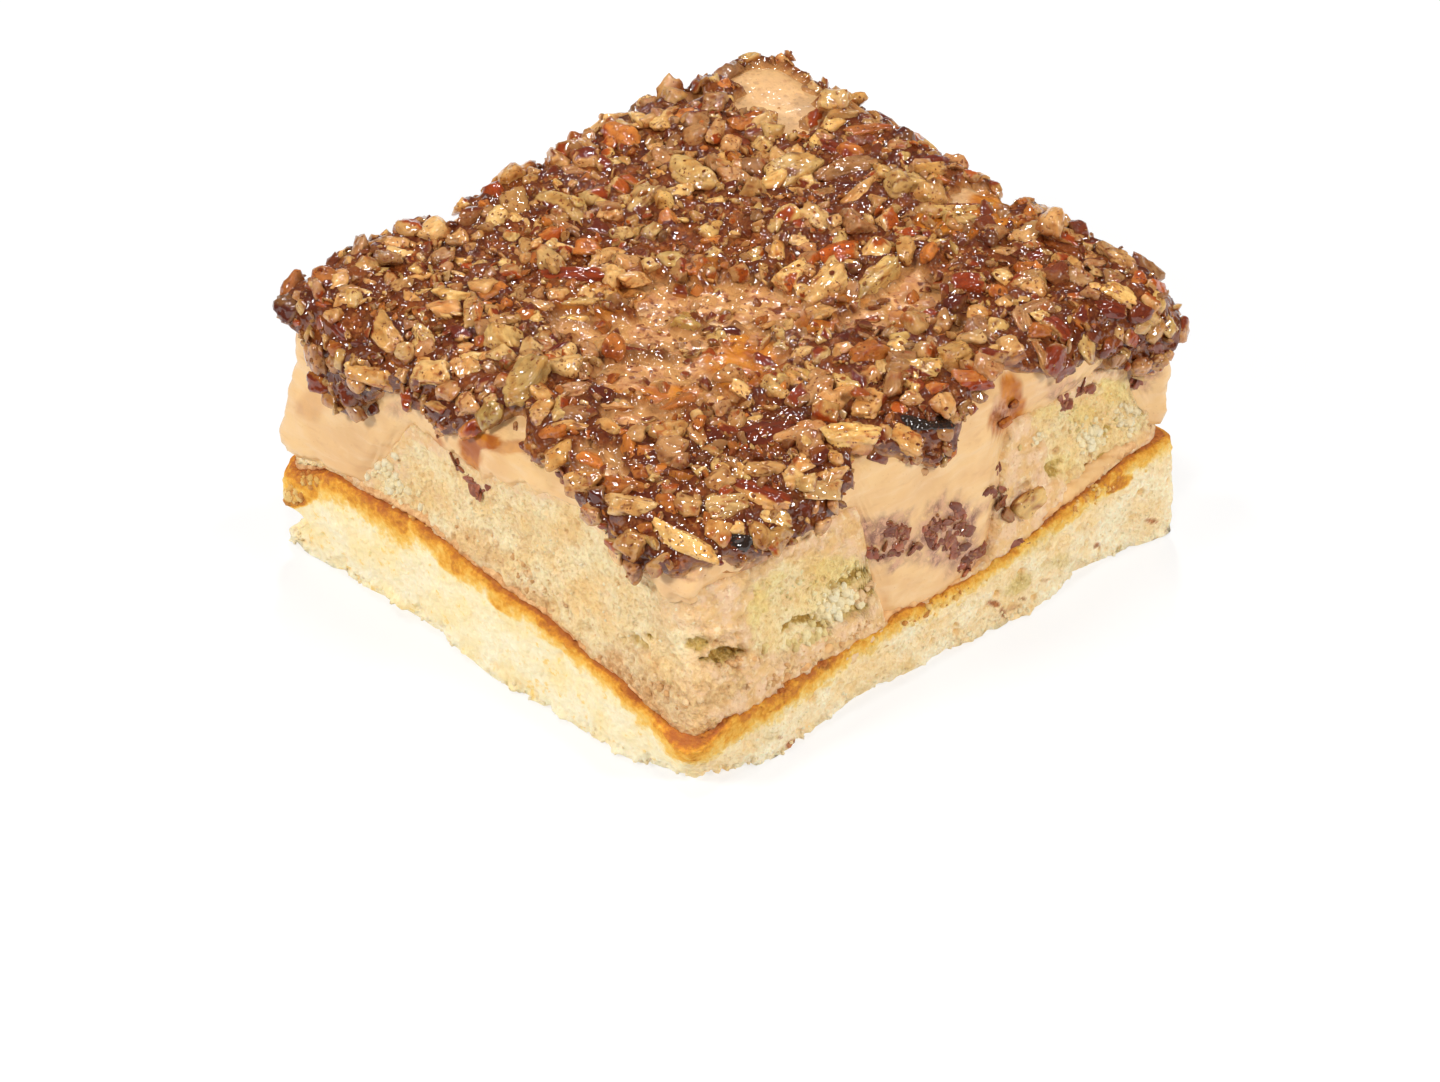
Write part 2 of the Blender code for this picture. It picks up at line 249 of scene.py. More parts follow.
def icing_inset(s, z):
    low = smooth((33.0 - z) / 16.0)
    bulge = 1.2 * bump(s, 0.0, 18.0) * low + 1.3 * bump(s, WIDTH_X + WIDTH_Y, 10.0) * smooth((38.0 - z) / 5.0)
    return ICING_SHOULDER + (ICING_FOOT - ICING_SHOULDER) * low - bulge


def side_lines(s, hem, steps):
    """For every s, the icing's outer side from the shoulder's start down to the height hem: (insets, heights), each
    steps + 1 by len(s), and the length of each line."""
    wide, drop = shoulder(s)
    top = icing_top(*outline(s, wide))
    power = 2 / 2.5
    phi = math.pi / 2 * np.arange(25) / 24
    inset = wide[None] * (1 - np.sin(phi)[:, None] ** power)
    z = (top - drop)[None] + drop[None] * np.cos(phi)[:, None] ** power
    inset = np.vstack([inset, np.zeros_like(top)[None]])
    z = np.vstack([z, (np.minimum(hem, top - drop) - 0.01)[None]])
    outs_i, outs_z = np.empty((steps + 1, len(s))), np.empty((steps + 1, len(s)))
    lengths = np.empty(len(s))
    for k in range(len(s)):
        li, lz = inset[:, k], z[:, k]
        d = np.concatenate([[0], np.cumsum(np.hypot(np.diff(li), np.diff(lz)))])
        # where the line comes down to the hem
        below = np.nonzero(lz <= hem[k])[0]
        end = d[-1]
        if len(below):
            j = max(below[0], 1)
            t = np.clip((lz[j - 1] - hem[k]) / max(lz[j - 1] - lz[j], 1e-9), 0, 1)
            end = d[j - 1] + (d[j] - d[j - 1]) * t
        at = np.linspace(0, end, steps + 1)
        outs_i[:, k], outs_z[:, k] = np.interp(at, d, li), np.interp(at, d, lz)
        lengths[k] = end
    return outs_i, outs_z, lengths


# ---------------------------------------------------------------------------------------------------------------------
# noise fields over arrays of points
# ---------------------------------------------------------------------------------------------------------------------


def hashed(ix, iy, iz, seed):
    h = (ix * 73856093) ^ (iy * 19349663) ^ (iz * 83492791) ^ (seed * 2654435761)
    h = (h ^ (h >> 13)) & 0xFFFFFFFF
    h = (h * 1274126177) & 0xFFFFFFFF
    h = ((h ^ (h >> 16)) * 2246822519) & 0xFFFFFFFF
    return ((h ^ (h >> 15)) & 0xFFFFFF) / float(0x1000000)


def waves(p, size, seed=0):
    """Smooth noise from -1 to 1, with features of the given size."""
    q = np.asarray(p, float) / size + 1000.0
    i = np.floor(q).astype(np.int64)
    f = q - i
    u = f * f * f * (f * (f * 6 - 15) + 10)
    total = 0.0
    for a in (0, 1):
        for b in (0, 1):
            for c in (0, 1):
                x, y, z = i[..., 0] + a, i[..., 1] + b, i[..., 2] + c
                g = [hashed(x, y, z, seed * 3 + k) * 2 - 1 for k in range(3)]
                dot = g[0] * (f[..., 0] - a) + g[1] * (f[..., 1] - b) + g[2] * (f[..., 2] - c)
                w = (
                    (u[..., 0] if a else 1 - u[..., 0])
                    * (u[..., 1] if b else 1 - u[..., 1])
                    * (u[..., 2] if c else 1 - u[..., 2])
                )
                total = total + w * dot
    return np.clip(total * 1.5, -1, 1)


def cells(p, size, seed=0):
    """(distance to the nearest of scattered points, to the second nearest, a number from 0 to 1 of the nearest), the
    distances in cell sizes."""
    q = np.asarray(p, float) / size + 1000.0
    i = np.floor(q).astype(np.int64)
    f = q - i
    first = np.full(q.shape[:-1], 9.0)
    second = first.copy()
    name = np.zeros_like(first)
    for a in (-1, 0, 1):
        for b in (-1, 0, 1):
            for c in (-1, 0, 1):
                x, y, z = i[..., 0] + a, i[..., 1] + b, i[..., 2] + c
                d = (
                    (a + hashed(x, y, z, seed * 5 + 11) - f[..., 0]) ** 2
                    + (b + hashed(x, y, z, seed * 5 + 12) - f[..., 1]) ** 2
                    + (c + hashed(x, y, z, seed * 5 + 13) - f[..., 2]) ** 2
                )
                closer = d < first
                second = np.where(closer, first, np.minimum(second, d))
                name = np.where(closer, hashed(x, y, z, seed * 5 + 14), name)
                first = np.where(closer, d, first)
    return np.sqrt(first), np.sqrt(second), name


# ---------------------------------------------------------------------------------------------------------------------
# meshes
# ---------------------------------------------------------------------------------------------------------------------


def rgb(r, g, b):
    """An sRGB colour, 0 to 255, as linear numbers."""
    c = np.array([r, g, b], float) / 255
    return np.where(c <= 0.04045, c / 12.92, ((c + 0.055) / 1.055) ** 2.4)


def sheet_faces(rows, columns, first=0, closed=True):
    """Triangles of a grid of rows by columns points, whose columns close round the cake."""
    r, c = np.meshgrid(np.arange(rows - 1), np.arange(columns if closed else columns - 1), indexing="ij")
    a = first + r * columns + c
    b = first + r * columns + (c + 1) % columns
    d, e = a + columns, b + columns
    return np.concatenate([np.stack([a, d, b], -1).reshape(-1, 3), np.stack([b, d, e], -1).reshape(-1, 3)])


def fan(ring, centre, turned=False):
    """Triangles from a ring of points to one point."""
    a, b = np.asarray(ring), np.roll(ring, -1)
    c = np.full(len(a), centre)
    return np.stack([a, c, b] if turned else [a, b, c], -1)


def normals(points, faces):
    a, b, c = points[faces[:, 0]], points[faces[:, 1]], points[faces[:, 2]]
    n = np.cross(b - a, c - a)
    out = np.zeros_like(points)
    for k in range(3):
        for axis in range(3):
            out[:, axis] += np.bincount(faces[:, k], n[:, axis], len(points))
    return out / np.maximum(np.linalg.norm(out, axis=1, keepdims=True), 1e-12)


def build(name, points, faces, node, material, numbers=None, colours=None, replaces=True, sharp=None):
    """A piece of the cake from points in millimetres."""
    mesh = bpy.data.meshes.new(name)
    n = len(faces)
    mesh.vertices.add(len(points))
    mesh.vertices.foreach_set("co", ((points + SHIFT) * MM).astype(np.float32).ravel())
    mesh.loops.add(3 * n)
    mesh.loops.foreach_set("vertex_index", faces.astype(np.int32).ravel())
    mesh.polygons.add(n)
    mesh.polygons.foreach_set("loop_start", np.arange(0, 3 * n, 3, dtype=np.int32))
    mesh.polygons.foreach_set("loop_total", np.full(n, 3, np.int32))
    mesh.update(calc_edges=True)
    mesh.validate()
    for key, values in (numbers or {}).items():
        mesh.attributes.new(key, "FLOAT", "POINT").data.foreach_set("value", values.astype(np.float32))
    for key, values in (colours or {}).items():
        full = np.concatenate([values, np.ones((len(values), 1))], 1).astype(np.float32)
        mesh.attributes.new(key, "FLOAT_COLOR", "POINT").data.foreach_set("color", full.ravel())
    mesh.shade_smooth()
    if sharp:
        mesh.set_sharp_from_angle(angle=math.radians(sharp))
    mesh.materials.append(material)
    piece = bpy.data.objects.new(name, mesh)
    bpy.context.scene.collection.objects.link(piece)
    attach(piece, "root")
    if replaces:
        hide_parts(node)
    return piece


# ---------------------------------------------------------------------------------------------------------------------
# materials
# ---------------------------------------------------------------------------------------------------------------------


class Nodes:
    """A short way to write a material's nodes. Sizes of patterns are in millimetres."""

    def __init__(self, name):
        self.material = bpy.data.materials.new(name)
        self.material.use_nodes = True
        self.tree = self.material.node_tree
        self.shader = self.tree.nodes["Principled BSDF"]
        coordinate = self.tree.nodes.new("ShaderNodeTexCoord")
        scale = self.tree.nodes.new("ShaderNodeVectorMath")
        scale.operation = "SCALE"
        scale.inputs["Scale"].default_value = 1000.0
        self.link(coordinate.outputs["Object"], scale.inputs[0])
        self.at = scale.outputs[0]

    def link(self, a, b):
        self.tree.links.new(a, b)

    def put(self, value, socket):
        if isinstance(value, bpy.types.NodeSocket):
            self.link(value, socket)
        elif isinstance(value, (int, float)):
            socket.default_value = float(value)
        else:
            socket.default_value = (*[float(v) for v in value], 1.0)[: len(socket.default_value)]

    def stretched(self, x, y, z):
        node = self.tree.nodes.new("ShaderNodeVectorMath")
        node.operation = "MULTIPLY"
        self.link(self.at, node.inputs[0])
        node.inputs[1].default_value = (x, y, z)
        return node.outputs[0]

    def warped(self, size, amount):
        """The coordinates shaken by a noise, so that cells lose their round shape."""
        shake = self.tree.nodes.new("ShaderNodeTexNoise")
        self.link(self.at, shake.inputs["Vector"])
        shake.inputs["Scale"].default_value = 1.0 / size
        shake.inputs["Detail"].default_value = 2.0
        middle = self.tree.nodes.new("ShaderNodeVectorMath")
        middle.operation = "SUBTRACT"
        self.link(shake.outputs["Color"], middle.inputs[0])
        middle.inputs[1].default_value = (0.5, 0.5, 0.5)
        times = self.tree.nodes.new("ShaderNodeVectorMath")
        times.operation = "SCALE"
        times.inputs["Scale"].default_value = amount * 2
        self.link(middle.outputs[0], times.inputs[0])
        add = self.tree.nodes.new("ShaderNodeVectorMath")
        self.link(self.at, add.inputs[0])
        self.link(times.outputs[0], add.inputs[1])
        return add.outputs[0]

    def noise(self, size, detail=3.0, rough=0.5, at=None, distortion=0.0):
        node = self.tree.nodes.new("ShaderNodeTexNoise")
        self.link(at or self.at, node.inputs["Vector"])
        node.inputs["Scale"].default_value = 1.0 / size
        node.inputs["Detail"].default_value = detail
        node.inputs["Roughness"].default_value = rough
        node.inputs["Distortion"].default_value = distortion
        return node.outputs["Fac"]

    def cells(self, size, feature="F1", output="Distance", at=None, random=1.0):
        node = self.tree.nodes.new("ShaderNodeTexVoronoi")
        node.feature = feature
        self.link(at or self.at, node.inputs["Vector"])
        node.inputs["Scale"].default_value = 1.0 / size
        node.inputs["Randomness"].default_value = random
        return node.outputs[output]

    def number(self, name):
        node = self.tree.nodes.new("ShaderNodeAttribute")
        node.attribute_name = name
        return node.outputs["Fac"]

    def colour(self, name):
        node = self.tree.nodes.new("ShaderNodeAttribute")
        node.attribute_name = name
        return node.outputs["Color"]

    def math(self, operation, a, b=0.0, clamp=False):
        node = self.tree.nodes.new("ShaderNodeMath")
        node.operation = operation
        node.use_clamp = clamp
        self.put(a, node.inputs[0])
        self.put(b, node.inputs[1])
        return node.outputs[0]

    def ramp(self, value, low, high, to_low=0.0, to_high=1.0):
        node = self.tree.nodes.new("ShaderNodeMapRange")
        node.interpolation_type = "SMOOTHSTEP"
        self.put(value, node.inputs["Value"])
        node.inputs["From Min"].default_value = low
        node.inputs["From Max"].default_value = high
        node.inputs["To Min"].default_value = to_low
        node.inputs["To Max"].default_value = to_high
        return node.outputs["Result"]

    def blend(self, share, a, b, mode="MIX"):
        node = self.tree.nodes.new("ShaderNodeMix")
        node.data_type = "RGBA"
        node.blend_type = mode
        self.put(share, node.inputs["Factor"])
        self.put(a, node.inputs[6])
        self.put(b, node.inputs[7])
        return node.outputs[2]

    def colours(self, value, stops):
        node = self.tree.nodes.new("ShaderNodeValToRGB")
        self.put(value, node.inputs["Fac"])
        ramp = node.color_ramp
        ramp.elements[0].position, ramp.elements[0].color = stops[0][0], (*stops[0][1], 1.0)
        ramp.elements[1].position, ramp.elements[1].color = stops[-1][0], (*stops[-1][1], 1.0)
        for position, colour in stops[1:-1]:
            ramp.elements.new(position).color = (*colour, 1.0)
        return node.outputs["Color"]

    def bump(self, height, distance, strength=1.0, after=None):
        node = self.tree.nodes.new("ShaderNodeBump")
        node.inputs["Strength"].default_value = strength
        node.inputs["Distance"].default_value = distance * MM
        self.put(height, node.inputs["Height"])
        if after is not None:
            self.link(after, node.inputs["Normal"])
        return node.outputs["Normal"]

    def finish(
        self,
        colour,
        roughness,
        normal=None,
        coat=0.0,
        coat_roughness=0.1,
        coat_normal=None,
        soft=0.0,
        radius=(1.0, 0.6, 0.3),
        level=0.5,
    ):
        s = self.shader.inputs
        self.put(colour, s["Base Color"])
        self.put(roughness, s["Roughness"])
        if normal is not None:
            self.link(normal, s["Normal"])
        if coat > 0 and (coat_normal or normal) is not None:
            self.link(coat_normal or normal, s["Coat Normal"])
        s["Coat Weight"].default_value = coat
        s["Coat Roughness"].default_value = coat_roughness
        s["Coat IOR"].default_value = 1.6
        s["Specular IOR Level"].default_value = level
        s["Subsurface Weight"].default_value = soft
        s["Subsurface Radius"].default_value = radius
        s["Subsurface Scale"].default_value = 1.0 * MM
        return self.material


def cream_colour(n):
    """Caramel cream: streaky, with pinker shades where it was smeared thin."""
    broad = n.noise(8.0, 3.0, 0.5, distortion=0.4)
    streak = n.noise(2.4, 3.0, 0.55, at=n.stretched(0.45, 0.45, 1.6), distortion=0.5)
    colour = n.blend(n.ramp(broad, 0.36, 0.66), rgb(233, 190, 130), rgb(225, 178, 120))
    colour = n.blend(n.ramp(streak, 0.45, 0.7, 0.0, 0.6), colour, rgb(234, 196, 146))
    colour = n.blend(n.ramp(streak, 0.42, 0.26, 0.0, 0.5), colour, rgb(212, 161, 108))
    return n.blend(n.ramp(n.cells(0.9, at=n.warped(1.0, 0.3)), 0.14, 0.04, 0.0, 0.4), colour, rgb(198, 142, 88))


def sponge_material(name, pale, warm, hollow_shade, with_crust):
    n = Nodes(name)
    broad = n.noise(6.0, 3.0, 0.55)
    clump = n.noise(1.5, 4.0, 0.6)
    fine = n.noise(0.62, 4.0, 0.65)
    pores = n.cells(0.8, at=n.warped(0.9, 0.3))
    colour = n.blend(n.ramp(broad, 0.36, 0.66), pale, warm)
    # the smooth-cut face of the lower layer shows less crumb than its torn face and the upper layer
    coarse = n.math("ADD", 0.5, n.math("MULTIPLY", n.number("right"), 0.5)) if with_crust else 1.0
    if with_crust:
        colour = n.blend(
            n.number("right"), colour, n.blend(n.ramp(broad, 0.36, 0.66), rgb(255, 236, 196), rgb(251, 216, 160))
        )
    # painted highlight and shade: where the clump and fine noises, which also drive the bump, are high the crumb is
    # whitened, and where they are low, and in the pores' hollows, it is darkened; partly the crumb's own tone
    bright = n.blend(1.0, colour, (1.10, 1.15, 1.30), "MULTIPLY")
    low = n.blend(0.55, colour, hollow_shade)
    colour = n.blend(n.math("MULTIPLY", n.ramp(clump, 0.50, 0.66, 0.0, 0.7), coarse), colour, bright)
    colour = n.blend(n.math("MULTIPLY", n.ramp(clump, 0.46, 0.30, 0.0, 0.6), coarse), colour, low)
    colour = n.blend(n.math("MULTIPLY", n.ramp(fine, 0.51, 0.66, 0.0, 0.8), coarse), colour, bright)
    colour = n.blend(n.math("MULTIPLY", n.ramp(fine, 0.47, 0.32, 0.0, 0.85), coarse), colour, low)
    colour = n.blend(n.math("MULTIPLY", n.ramp(pores, 0.30, 0.05, 0.0, 0.4), coarse), colour, low)
    # painted shade: the hollow_shade attribute darkens the crumb's pores, holes and pits towards the hollow_shade
    # colour
    colour = n.blend(n.number("hollow_shade"), colour, hollow_shade)
    if with_crust:
        # soft baked specks, then the crust's colours down from the top edge
        speck = n.ramp(n.noise(1.5, 3.0, 0.6), 0.57, 0.71, 0.0, 0.8)
        colour = n.blend(n.math("MULTIPLY", speck, n.math("SUBTRACT", 1.0, n.number("right"))), colour, rgb(248, 206, 118))
        ragged = n.math(
            "ADD",
            n.ramp(n.noise(0.8, 4.0, 0.65), 0.25, 0.75, -0.13, 0.13),
            n.ramp(n.noise(2.6, 3.0, 0.6), 0.3, 0.7, -0.12, 0.12),
        )
        crust = n.math("ADD", n.number("crust"), n.math("MULTIPLY", ragged, n.ramp(n.number("crust"), 0.02, 0.2)))
        baked = n.colours(
            crust,
            (
                (0.0, rgb(252, 234, 188)),
                (0.12, rgb(252, 227, 172)),
                (0.26, rgb(250, 215, 144)),
                (0.40, rgb(245, 199, 108)),
                (0.52, rgb(242, 186, 86)),
                (0.68, rgb(230, 160, 60)),
                (0.82, rgb(208, 134, 56)),
                (1.0, rgb(184, 108, 56)),
            ),
        )
        baked = n.blend(n.ramp(fine, 0.46, 0.30, 0.0, 0.35), baked, n.blend(1.0, baked, (0.86, 0.76, 0.62), "MULTIPLY"))
        baked = n.blend(n.ramp(fine, 0.54, 0.72, 0.0, 0.5), baked, n.blend(1.0, baked, (1.12, 1.2, 1.3), "MULTIPLY"))
        colour = n.blend(n.ramp(crust, 0.0, 0.34), colour, baked)
        # painted shade of pits: the olive attribute tints these places yellow-olive
        colour = n.blend(n.number("olive"), colour, n.blend(n.ramp(fine, 0.3, 0.7), rgb(196, 164, 90), rgb(232, 206, 134)))
        colour = n.blend(n.number("burnt"), colour, n.blend(n.ramp(fine, 0.3, 0.7), rgb(128, 62, 30), rgb(196, 116, 62)))
    else:
        soaked = n.blend(n.ramp(n.noise(1.0, 5.0, 0.65), 0.36, 0.64), rgb(210, 154, 98), rgb(246, 206, 152))
        # painted shade: the soaked crumb is darker where the clump noise, which also drives the bump, is low
        soaked = n.blend(n.ramp(clump, 0.40, 0.60), n.blend(1.0, soaked, (0.90, 0.83, 0.76), "MULTIPLY"), soaked)
        colour = n.blend(n.number("soak"), colour, soaked)
        colour = n.blend(n.number("green"), colour, n.blend(1.0, colour, (0.95, 0.95, 0.74), "MULTIPLY"))
        # painted shade: the olive attribute darkens the hollows and cavities, darker still where the fine noise is low
        olive = n.colours(
            n.number("olive"),
            ((0.0, rgb(232, 204, 132)), (0.4, rgb(212, 176, 98)), (0.7, rgb(174, 132, 62)), (1.0, rgb(112, 76, 38))),
        )
        olive = n.blend(n.ramp(fine, 0.54, 0.34, 0.0, 0.5), olive, n.blend(1.0, olive, (0.5, 0.42, 0.34), "MULTIPLY"))
        olive = n.blend(n.ramp(fine, 0.52, 0.66, 0.0, 0.6), olive, rgb(232, 204, 140))
        colour = n.blend(n.ramp(n.number("olive"), 0.05, 0.45), colour, olive)
        cream = n.blend(n.ramp(n.noise(2.6, 3.0, 0.55), 0.38, 0.62), cream_colour(n), rgb(236, 198, 158))
        cream = n.blend(n.ramp(n.noise(1.1, 4.0, 0.65), 0.52, 0.68, 0.0, 0.7), cream, rgb(250, 224, 182))
        cream = n.blend(n.ramp(n.noise(0.8, 4.0, 0.65), 0.44, 0.30, 0.0, 0.6), cream, rgb(206, 156, 112))
        colour = n.blend(n.number("smear"), colour, cream)
    height = n.math("ADD", n.math("MULTIPLY", fine, 1.0), n.math("MULTIPLY", n.ramp(pores, 0.02, 0.6), 0.45))
    height = n.math("ADD", height, n.math("MULTIPLY", clump, 1.4))
    height = n.math("ADD", height, n.math("MULTIPLY", n.noise(0.3, 2.0, 0.6), 0.3))
    if with_crust:
        height = n.math("MULTIPLY", height, n.math("ADD", 0.45, n.math("MULTIPLY", n.number("right"), 0.55)))
    else:
        flat = n.math("SUBTRACT", 1.0, n.math("MULTIPLY", n.number("smear"), 0.5))
        height = n.math("MULTIPLY", height, flat)
    normal = n.bump(height, 0.5, 0.95)
    return n.finish(colour, 0.9, normal, soft=0.2, radius=(1.4, 0.9, 0.4), level=0.1)


def cream_material(name, with_syrup):
    n = Nodes(name)
    colour = cream_colour(n)
    streak = n.noise(2.4, 3.0, 0.55, at=n.stretched(0.45, 0.45, 1.6), distortion=0.5)
    fine = n.noise(0.5, 3.0, 0.6)
    if with_syrup:
        # a film of syrup with fine brown flecks in it
        film = n.blend(n.ramp(n.noise(1.5, 4.0, 0.65), 0.32, 0.66), rgb(156, 88, 42), rgb(218, 158, 94))
        film = n.blend(n.ramp(n.noise(5.0, 3.0, 0.55), 0.42, 0.60, 0.0, 0.75), film, rgb(164, 92, 38))
        colour = n.blend(n.math("MULTIPLY", n.number("fleck"), 0.85), colour, film)
        shaken = n.warped(0.8, 0.45)
        spot = n.math("MULTIPLY", n.ramp(n.cells(1.15, at=shaken), 0.42, 0.26), n.ramp(n.noise(2.2, 2.0, 0.5), 0.38, 0.50))
        spot = n.math("MAXIMUM", spot, n.math("MULTIPLY", n.ramp(n.cells(0.55, at=shaken), 0.30, 0.20), n.ramp(n.noise(1.4, 2.0, 0.5), 0.46, 0.56)))
        brown = n.blend(n.ramp(n.noise(0.9, 2.0, 0.5), 0.4, 0.6), rgb(98, 38, 12), rgb(150, 78, 30))
        colour = n.blend(n.math("MULTIPLY", spot, n.math("MULTIPLY", n.number("fleck"), 0.9)), colour, brown)
        amber = n.blend(n.ramp(n.noise(2.4, 2.0, 0.5), 0.35, 0.65), rgb(202, 122, 20), rgb(166, 84, 4))
        colour = n.blend(n.number("syrup"), colour, amber)
        # purplish brown where skins have coloured the cream
        tinged = n.blend(n.ramp(n.noise(0.9, 4.0, 0.65), 0.38, 0.62), rgb(126, 76, 60), rgb(204, 152, 118))
        colour = n.blend(n.math("MULTIPLY", n.number("stain"), n.ramp(n.noise(1.8, 3.0, 0.6), 0.30, 0.52)), colour, tinged)
    else:
        soaked = n.blend(n.ramp(n.noise(0.9, 5.0, 0.7), 0.34, 0.66), rgb(212, 158, 102), rgb(244, 204, 150))
        # painted shade in the soaked crumb's pores
        painted_pore_shade = n.ramp(n.cells(0.62, at=n.warped(0.9, 0.25)), 0.30, 0.10, 0.0, 0.4)
        soaked = n.blend(painted_pore_shade, soaked, rgb(190, 136, 82))
        colour = n.blend(n.number("crumb"), colour, soaked)
        toasted = n.blend(n.ramp(n.noise(0.9, 4.0, 0.7), 0.36, 0.64), rgb(184, 116, 62), rgb(222, 160, 96))
        colour = n.blend(n.math("MULTIPLY", n.number("brown"), 0.75), colour, toasted)
    height = n.math("ADD", n.math("MULTIPLY", streak, 1.0), n.math("MULTIPLY", fine, 0.35))
    normal = n.bump(height, 0.2, 0.6)
    if with_syrup:
        wet = n.bump(n.math("ADD", n.noise(1.0, 2.0, 0.5), n.math("MULTIPLY", streak, 1.5)), 0.2, 0.7)
        return n.finish(colour, 0.5, normal, coat=0.4, coat_roughness=0.1, coat_normal=wet, soft=0.1, radius=(1.6, 1.0, 0.5), level=0.3)
    return n.finish(colour, 0.6, normal, level=0.3)


def paste_material(name):
    """Fine nut crumbs in brown syrup."""
    n = Nodes(name)
    shaken = n.warped(0.9, 0.4)
    big = n.cells(1.15, "F1", "Color", at=shaken)
    small = n.cells(0.5, "F1", "Color", at=shaken)
    edge = n.cells(1.15, at=shaken)
    edge_small = n.cells(0.5, at=shaken)
    pick = n.tree.nodes.new("ShaderNodeSeparateColor")
    n.link(big, pick.inputs[0])
    pick2 = n.tree.nodes.new("ShaderNodeSeparateColor")
    n.link(small, pick2.inputs[0])
    stops = (
        (0.0, rgb(88, 29, 4)),
        (0.14, rgb(120, 54, 18)),
        (0.30, rgb(146, 76, 32)),
        (0.46, rgb(168, 99, 49)),
        (0.58, rgb(98, 33, 4)),
        (0.72, rgb(182, 117, 60)),
        (0.84, rgb(80, 24, 2)),
        (0.92, rgb(160, 89, 40)),
        (1.0, rgb(130, 61, 20)),
    )
    colour = n.colours(pick.outputs[0], stops)
    fine = n.colours(pick2.outputs[0], stops)
    colour = n.blend(n.ramp(n.noise(1.2, 3.0, 0.6), 0.38, 0.56), colour, fine)
    # painted shade in the gaps between the grains, which are low in the bump
    colour = n.blend(n.ramp(edge_small, 0.40, 0.75, 0.0, 0.5), colour, rgb(90, 32, 2))
    colour = n.blend(n.ramp(n.noise(2.4, 3.0, 0.6), 0.50, 0.36, 0.0, 0.55), colour, rgb(88, 30, 2))
    # darker syrup and painted shade round the foot of each piece, where the ring attribute is set
    colour = n.blend(n.math("MULTIPLY", n.number("ring"), 0.75), colour, rgb(76, 22, 0))
    broad = n.noise(6.0, 3.0, 0.5)
    colour = n.blend(n.ramp(broad, 0.5, 0.7, 0.0, 0.45), colour, rgb(150, 78, 24))
    cream = n.blend(n.noise(1.0, 4.0, 0.65), rgb(218, 166, 102), rgb(164, 100, 50))
    colour = n.blend(n.number("creamy"), colour, cream)
    amber = n.blend(n.ramp(n.noise(1.8, 3.0, 0.6), 0.35, 0.65), rgb(206, 128, 36), rgb(168, 84, 8))
    colour = n.blend(n.number("syrup"), colour, amber)
    height = n.math("ADD", n.math("MULTIPLY", n.ramp(edge, 0.6, 0.1), 0.9), n.math("MULTIPLY", n.ramp(edge_small, 0.6, 0.1), 0.5))
    height = n.math("ADD", height, n.math("MULTIPLY", n.noise(0.4, 2.0, 0.6), 0.4))
    normal = n.bump(height, 0.22, 0.7)
    wet = n.bump(n.noise(1.25, 0.5, 0.4), 0.75, 0.95)
    return n.finish(colour, 0.6, normal, coat=1.0, coat_roughness=0.04, coat_normal=wet, level=0.05)


def nut_material(name, coat=1.0, mild=1.0):
    n = Nodes(name)
    tint = n.colour("tint")
    cloud = n.noise(1.3, 4.0, 0.6)
    grain = n.noise(0.4, 4.0, 0.65)
    # painted shade and highlight: the cloud and grain noises also drive the bump, so low places darken and high places
    # lighten, partly the flesh's own mottling
    dark = n.blend(1.0, tint, (0.72, 0.56, 0.42), "MULTIPLY")
    light = n.blend(1.0, tint, (1.04, 1.01, 0.96), "MULTIPLY")
    colour = n.blend(n.ramp(cloud, 0.47, 0.32, 0.0, 0.65 * mild), tint, dark)
    colour = n.blend(n.ramp(cloud, 0.52, 0.68, 0.0, 0.7 * mild), colour, light)
    colour = n.blend(n.ramp(grain, 0.45, 0.30, 0.0, 0.35 * mild), colour, n.blend(1.0, colour, (0.76, 0.62, 0.48), "MULTIPLY"))
    colour = n.blend(n.ramp(grain, 0.55, 0.68, 0.0, 0.4 * mild), colour, n.blend(1.0, colour, (1.12, 1.12, 1.15), "MULTIPLY"))
    # thin specks of skin stuck on
    speck = n.ramp(n.cells(0.62, at=n.warped(0.6, 0.5)), 0.32, 0.20, 0.0, 0.9)
    kept = n.ramp(n.noise(2.0, 2.0, 0.5), 0.44, 0.55)
    colour = n.blend(n.math("MULTIPLY", speck, kept), colour, rgb(112, 50, 26))
    height = n.math("ADD", cloud, n.math("MULTIPLY", grain, 0.5))
    normal = n.bump(height, 0.24, 0.8)
    wet = n.bump(n.noise(1.0, 0.5, 0.4), 0.45, 0.9)
    return n.finish(colour, 0.6, normal, coat=coat, coat_roughness=0.04, coat_normal=wet, soft=0.2, radius=(1.2, 0.7, 0.3), level=0.05)


def crumb_material(name):
    n = Nodes(name)
    tint = n.colour("tint")
    fine = n.noise(0.4, 4.0, 0.7)
    # painted shade: darker where the fine noise, which drives the bump, is low
    colour = n.blend(n.ramp(fine, 0.48, 0.30, 0.0, 0.7), tint, n.blend(1.0, tint, (0.82, 0.7, 0.52), "MULTIPLY"))
    return n.finish(colour, 0.9, n.bump(fine, 0.3, 1.0), level=0.2)


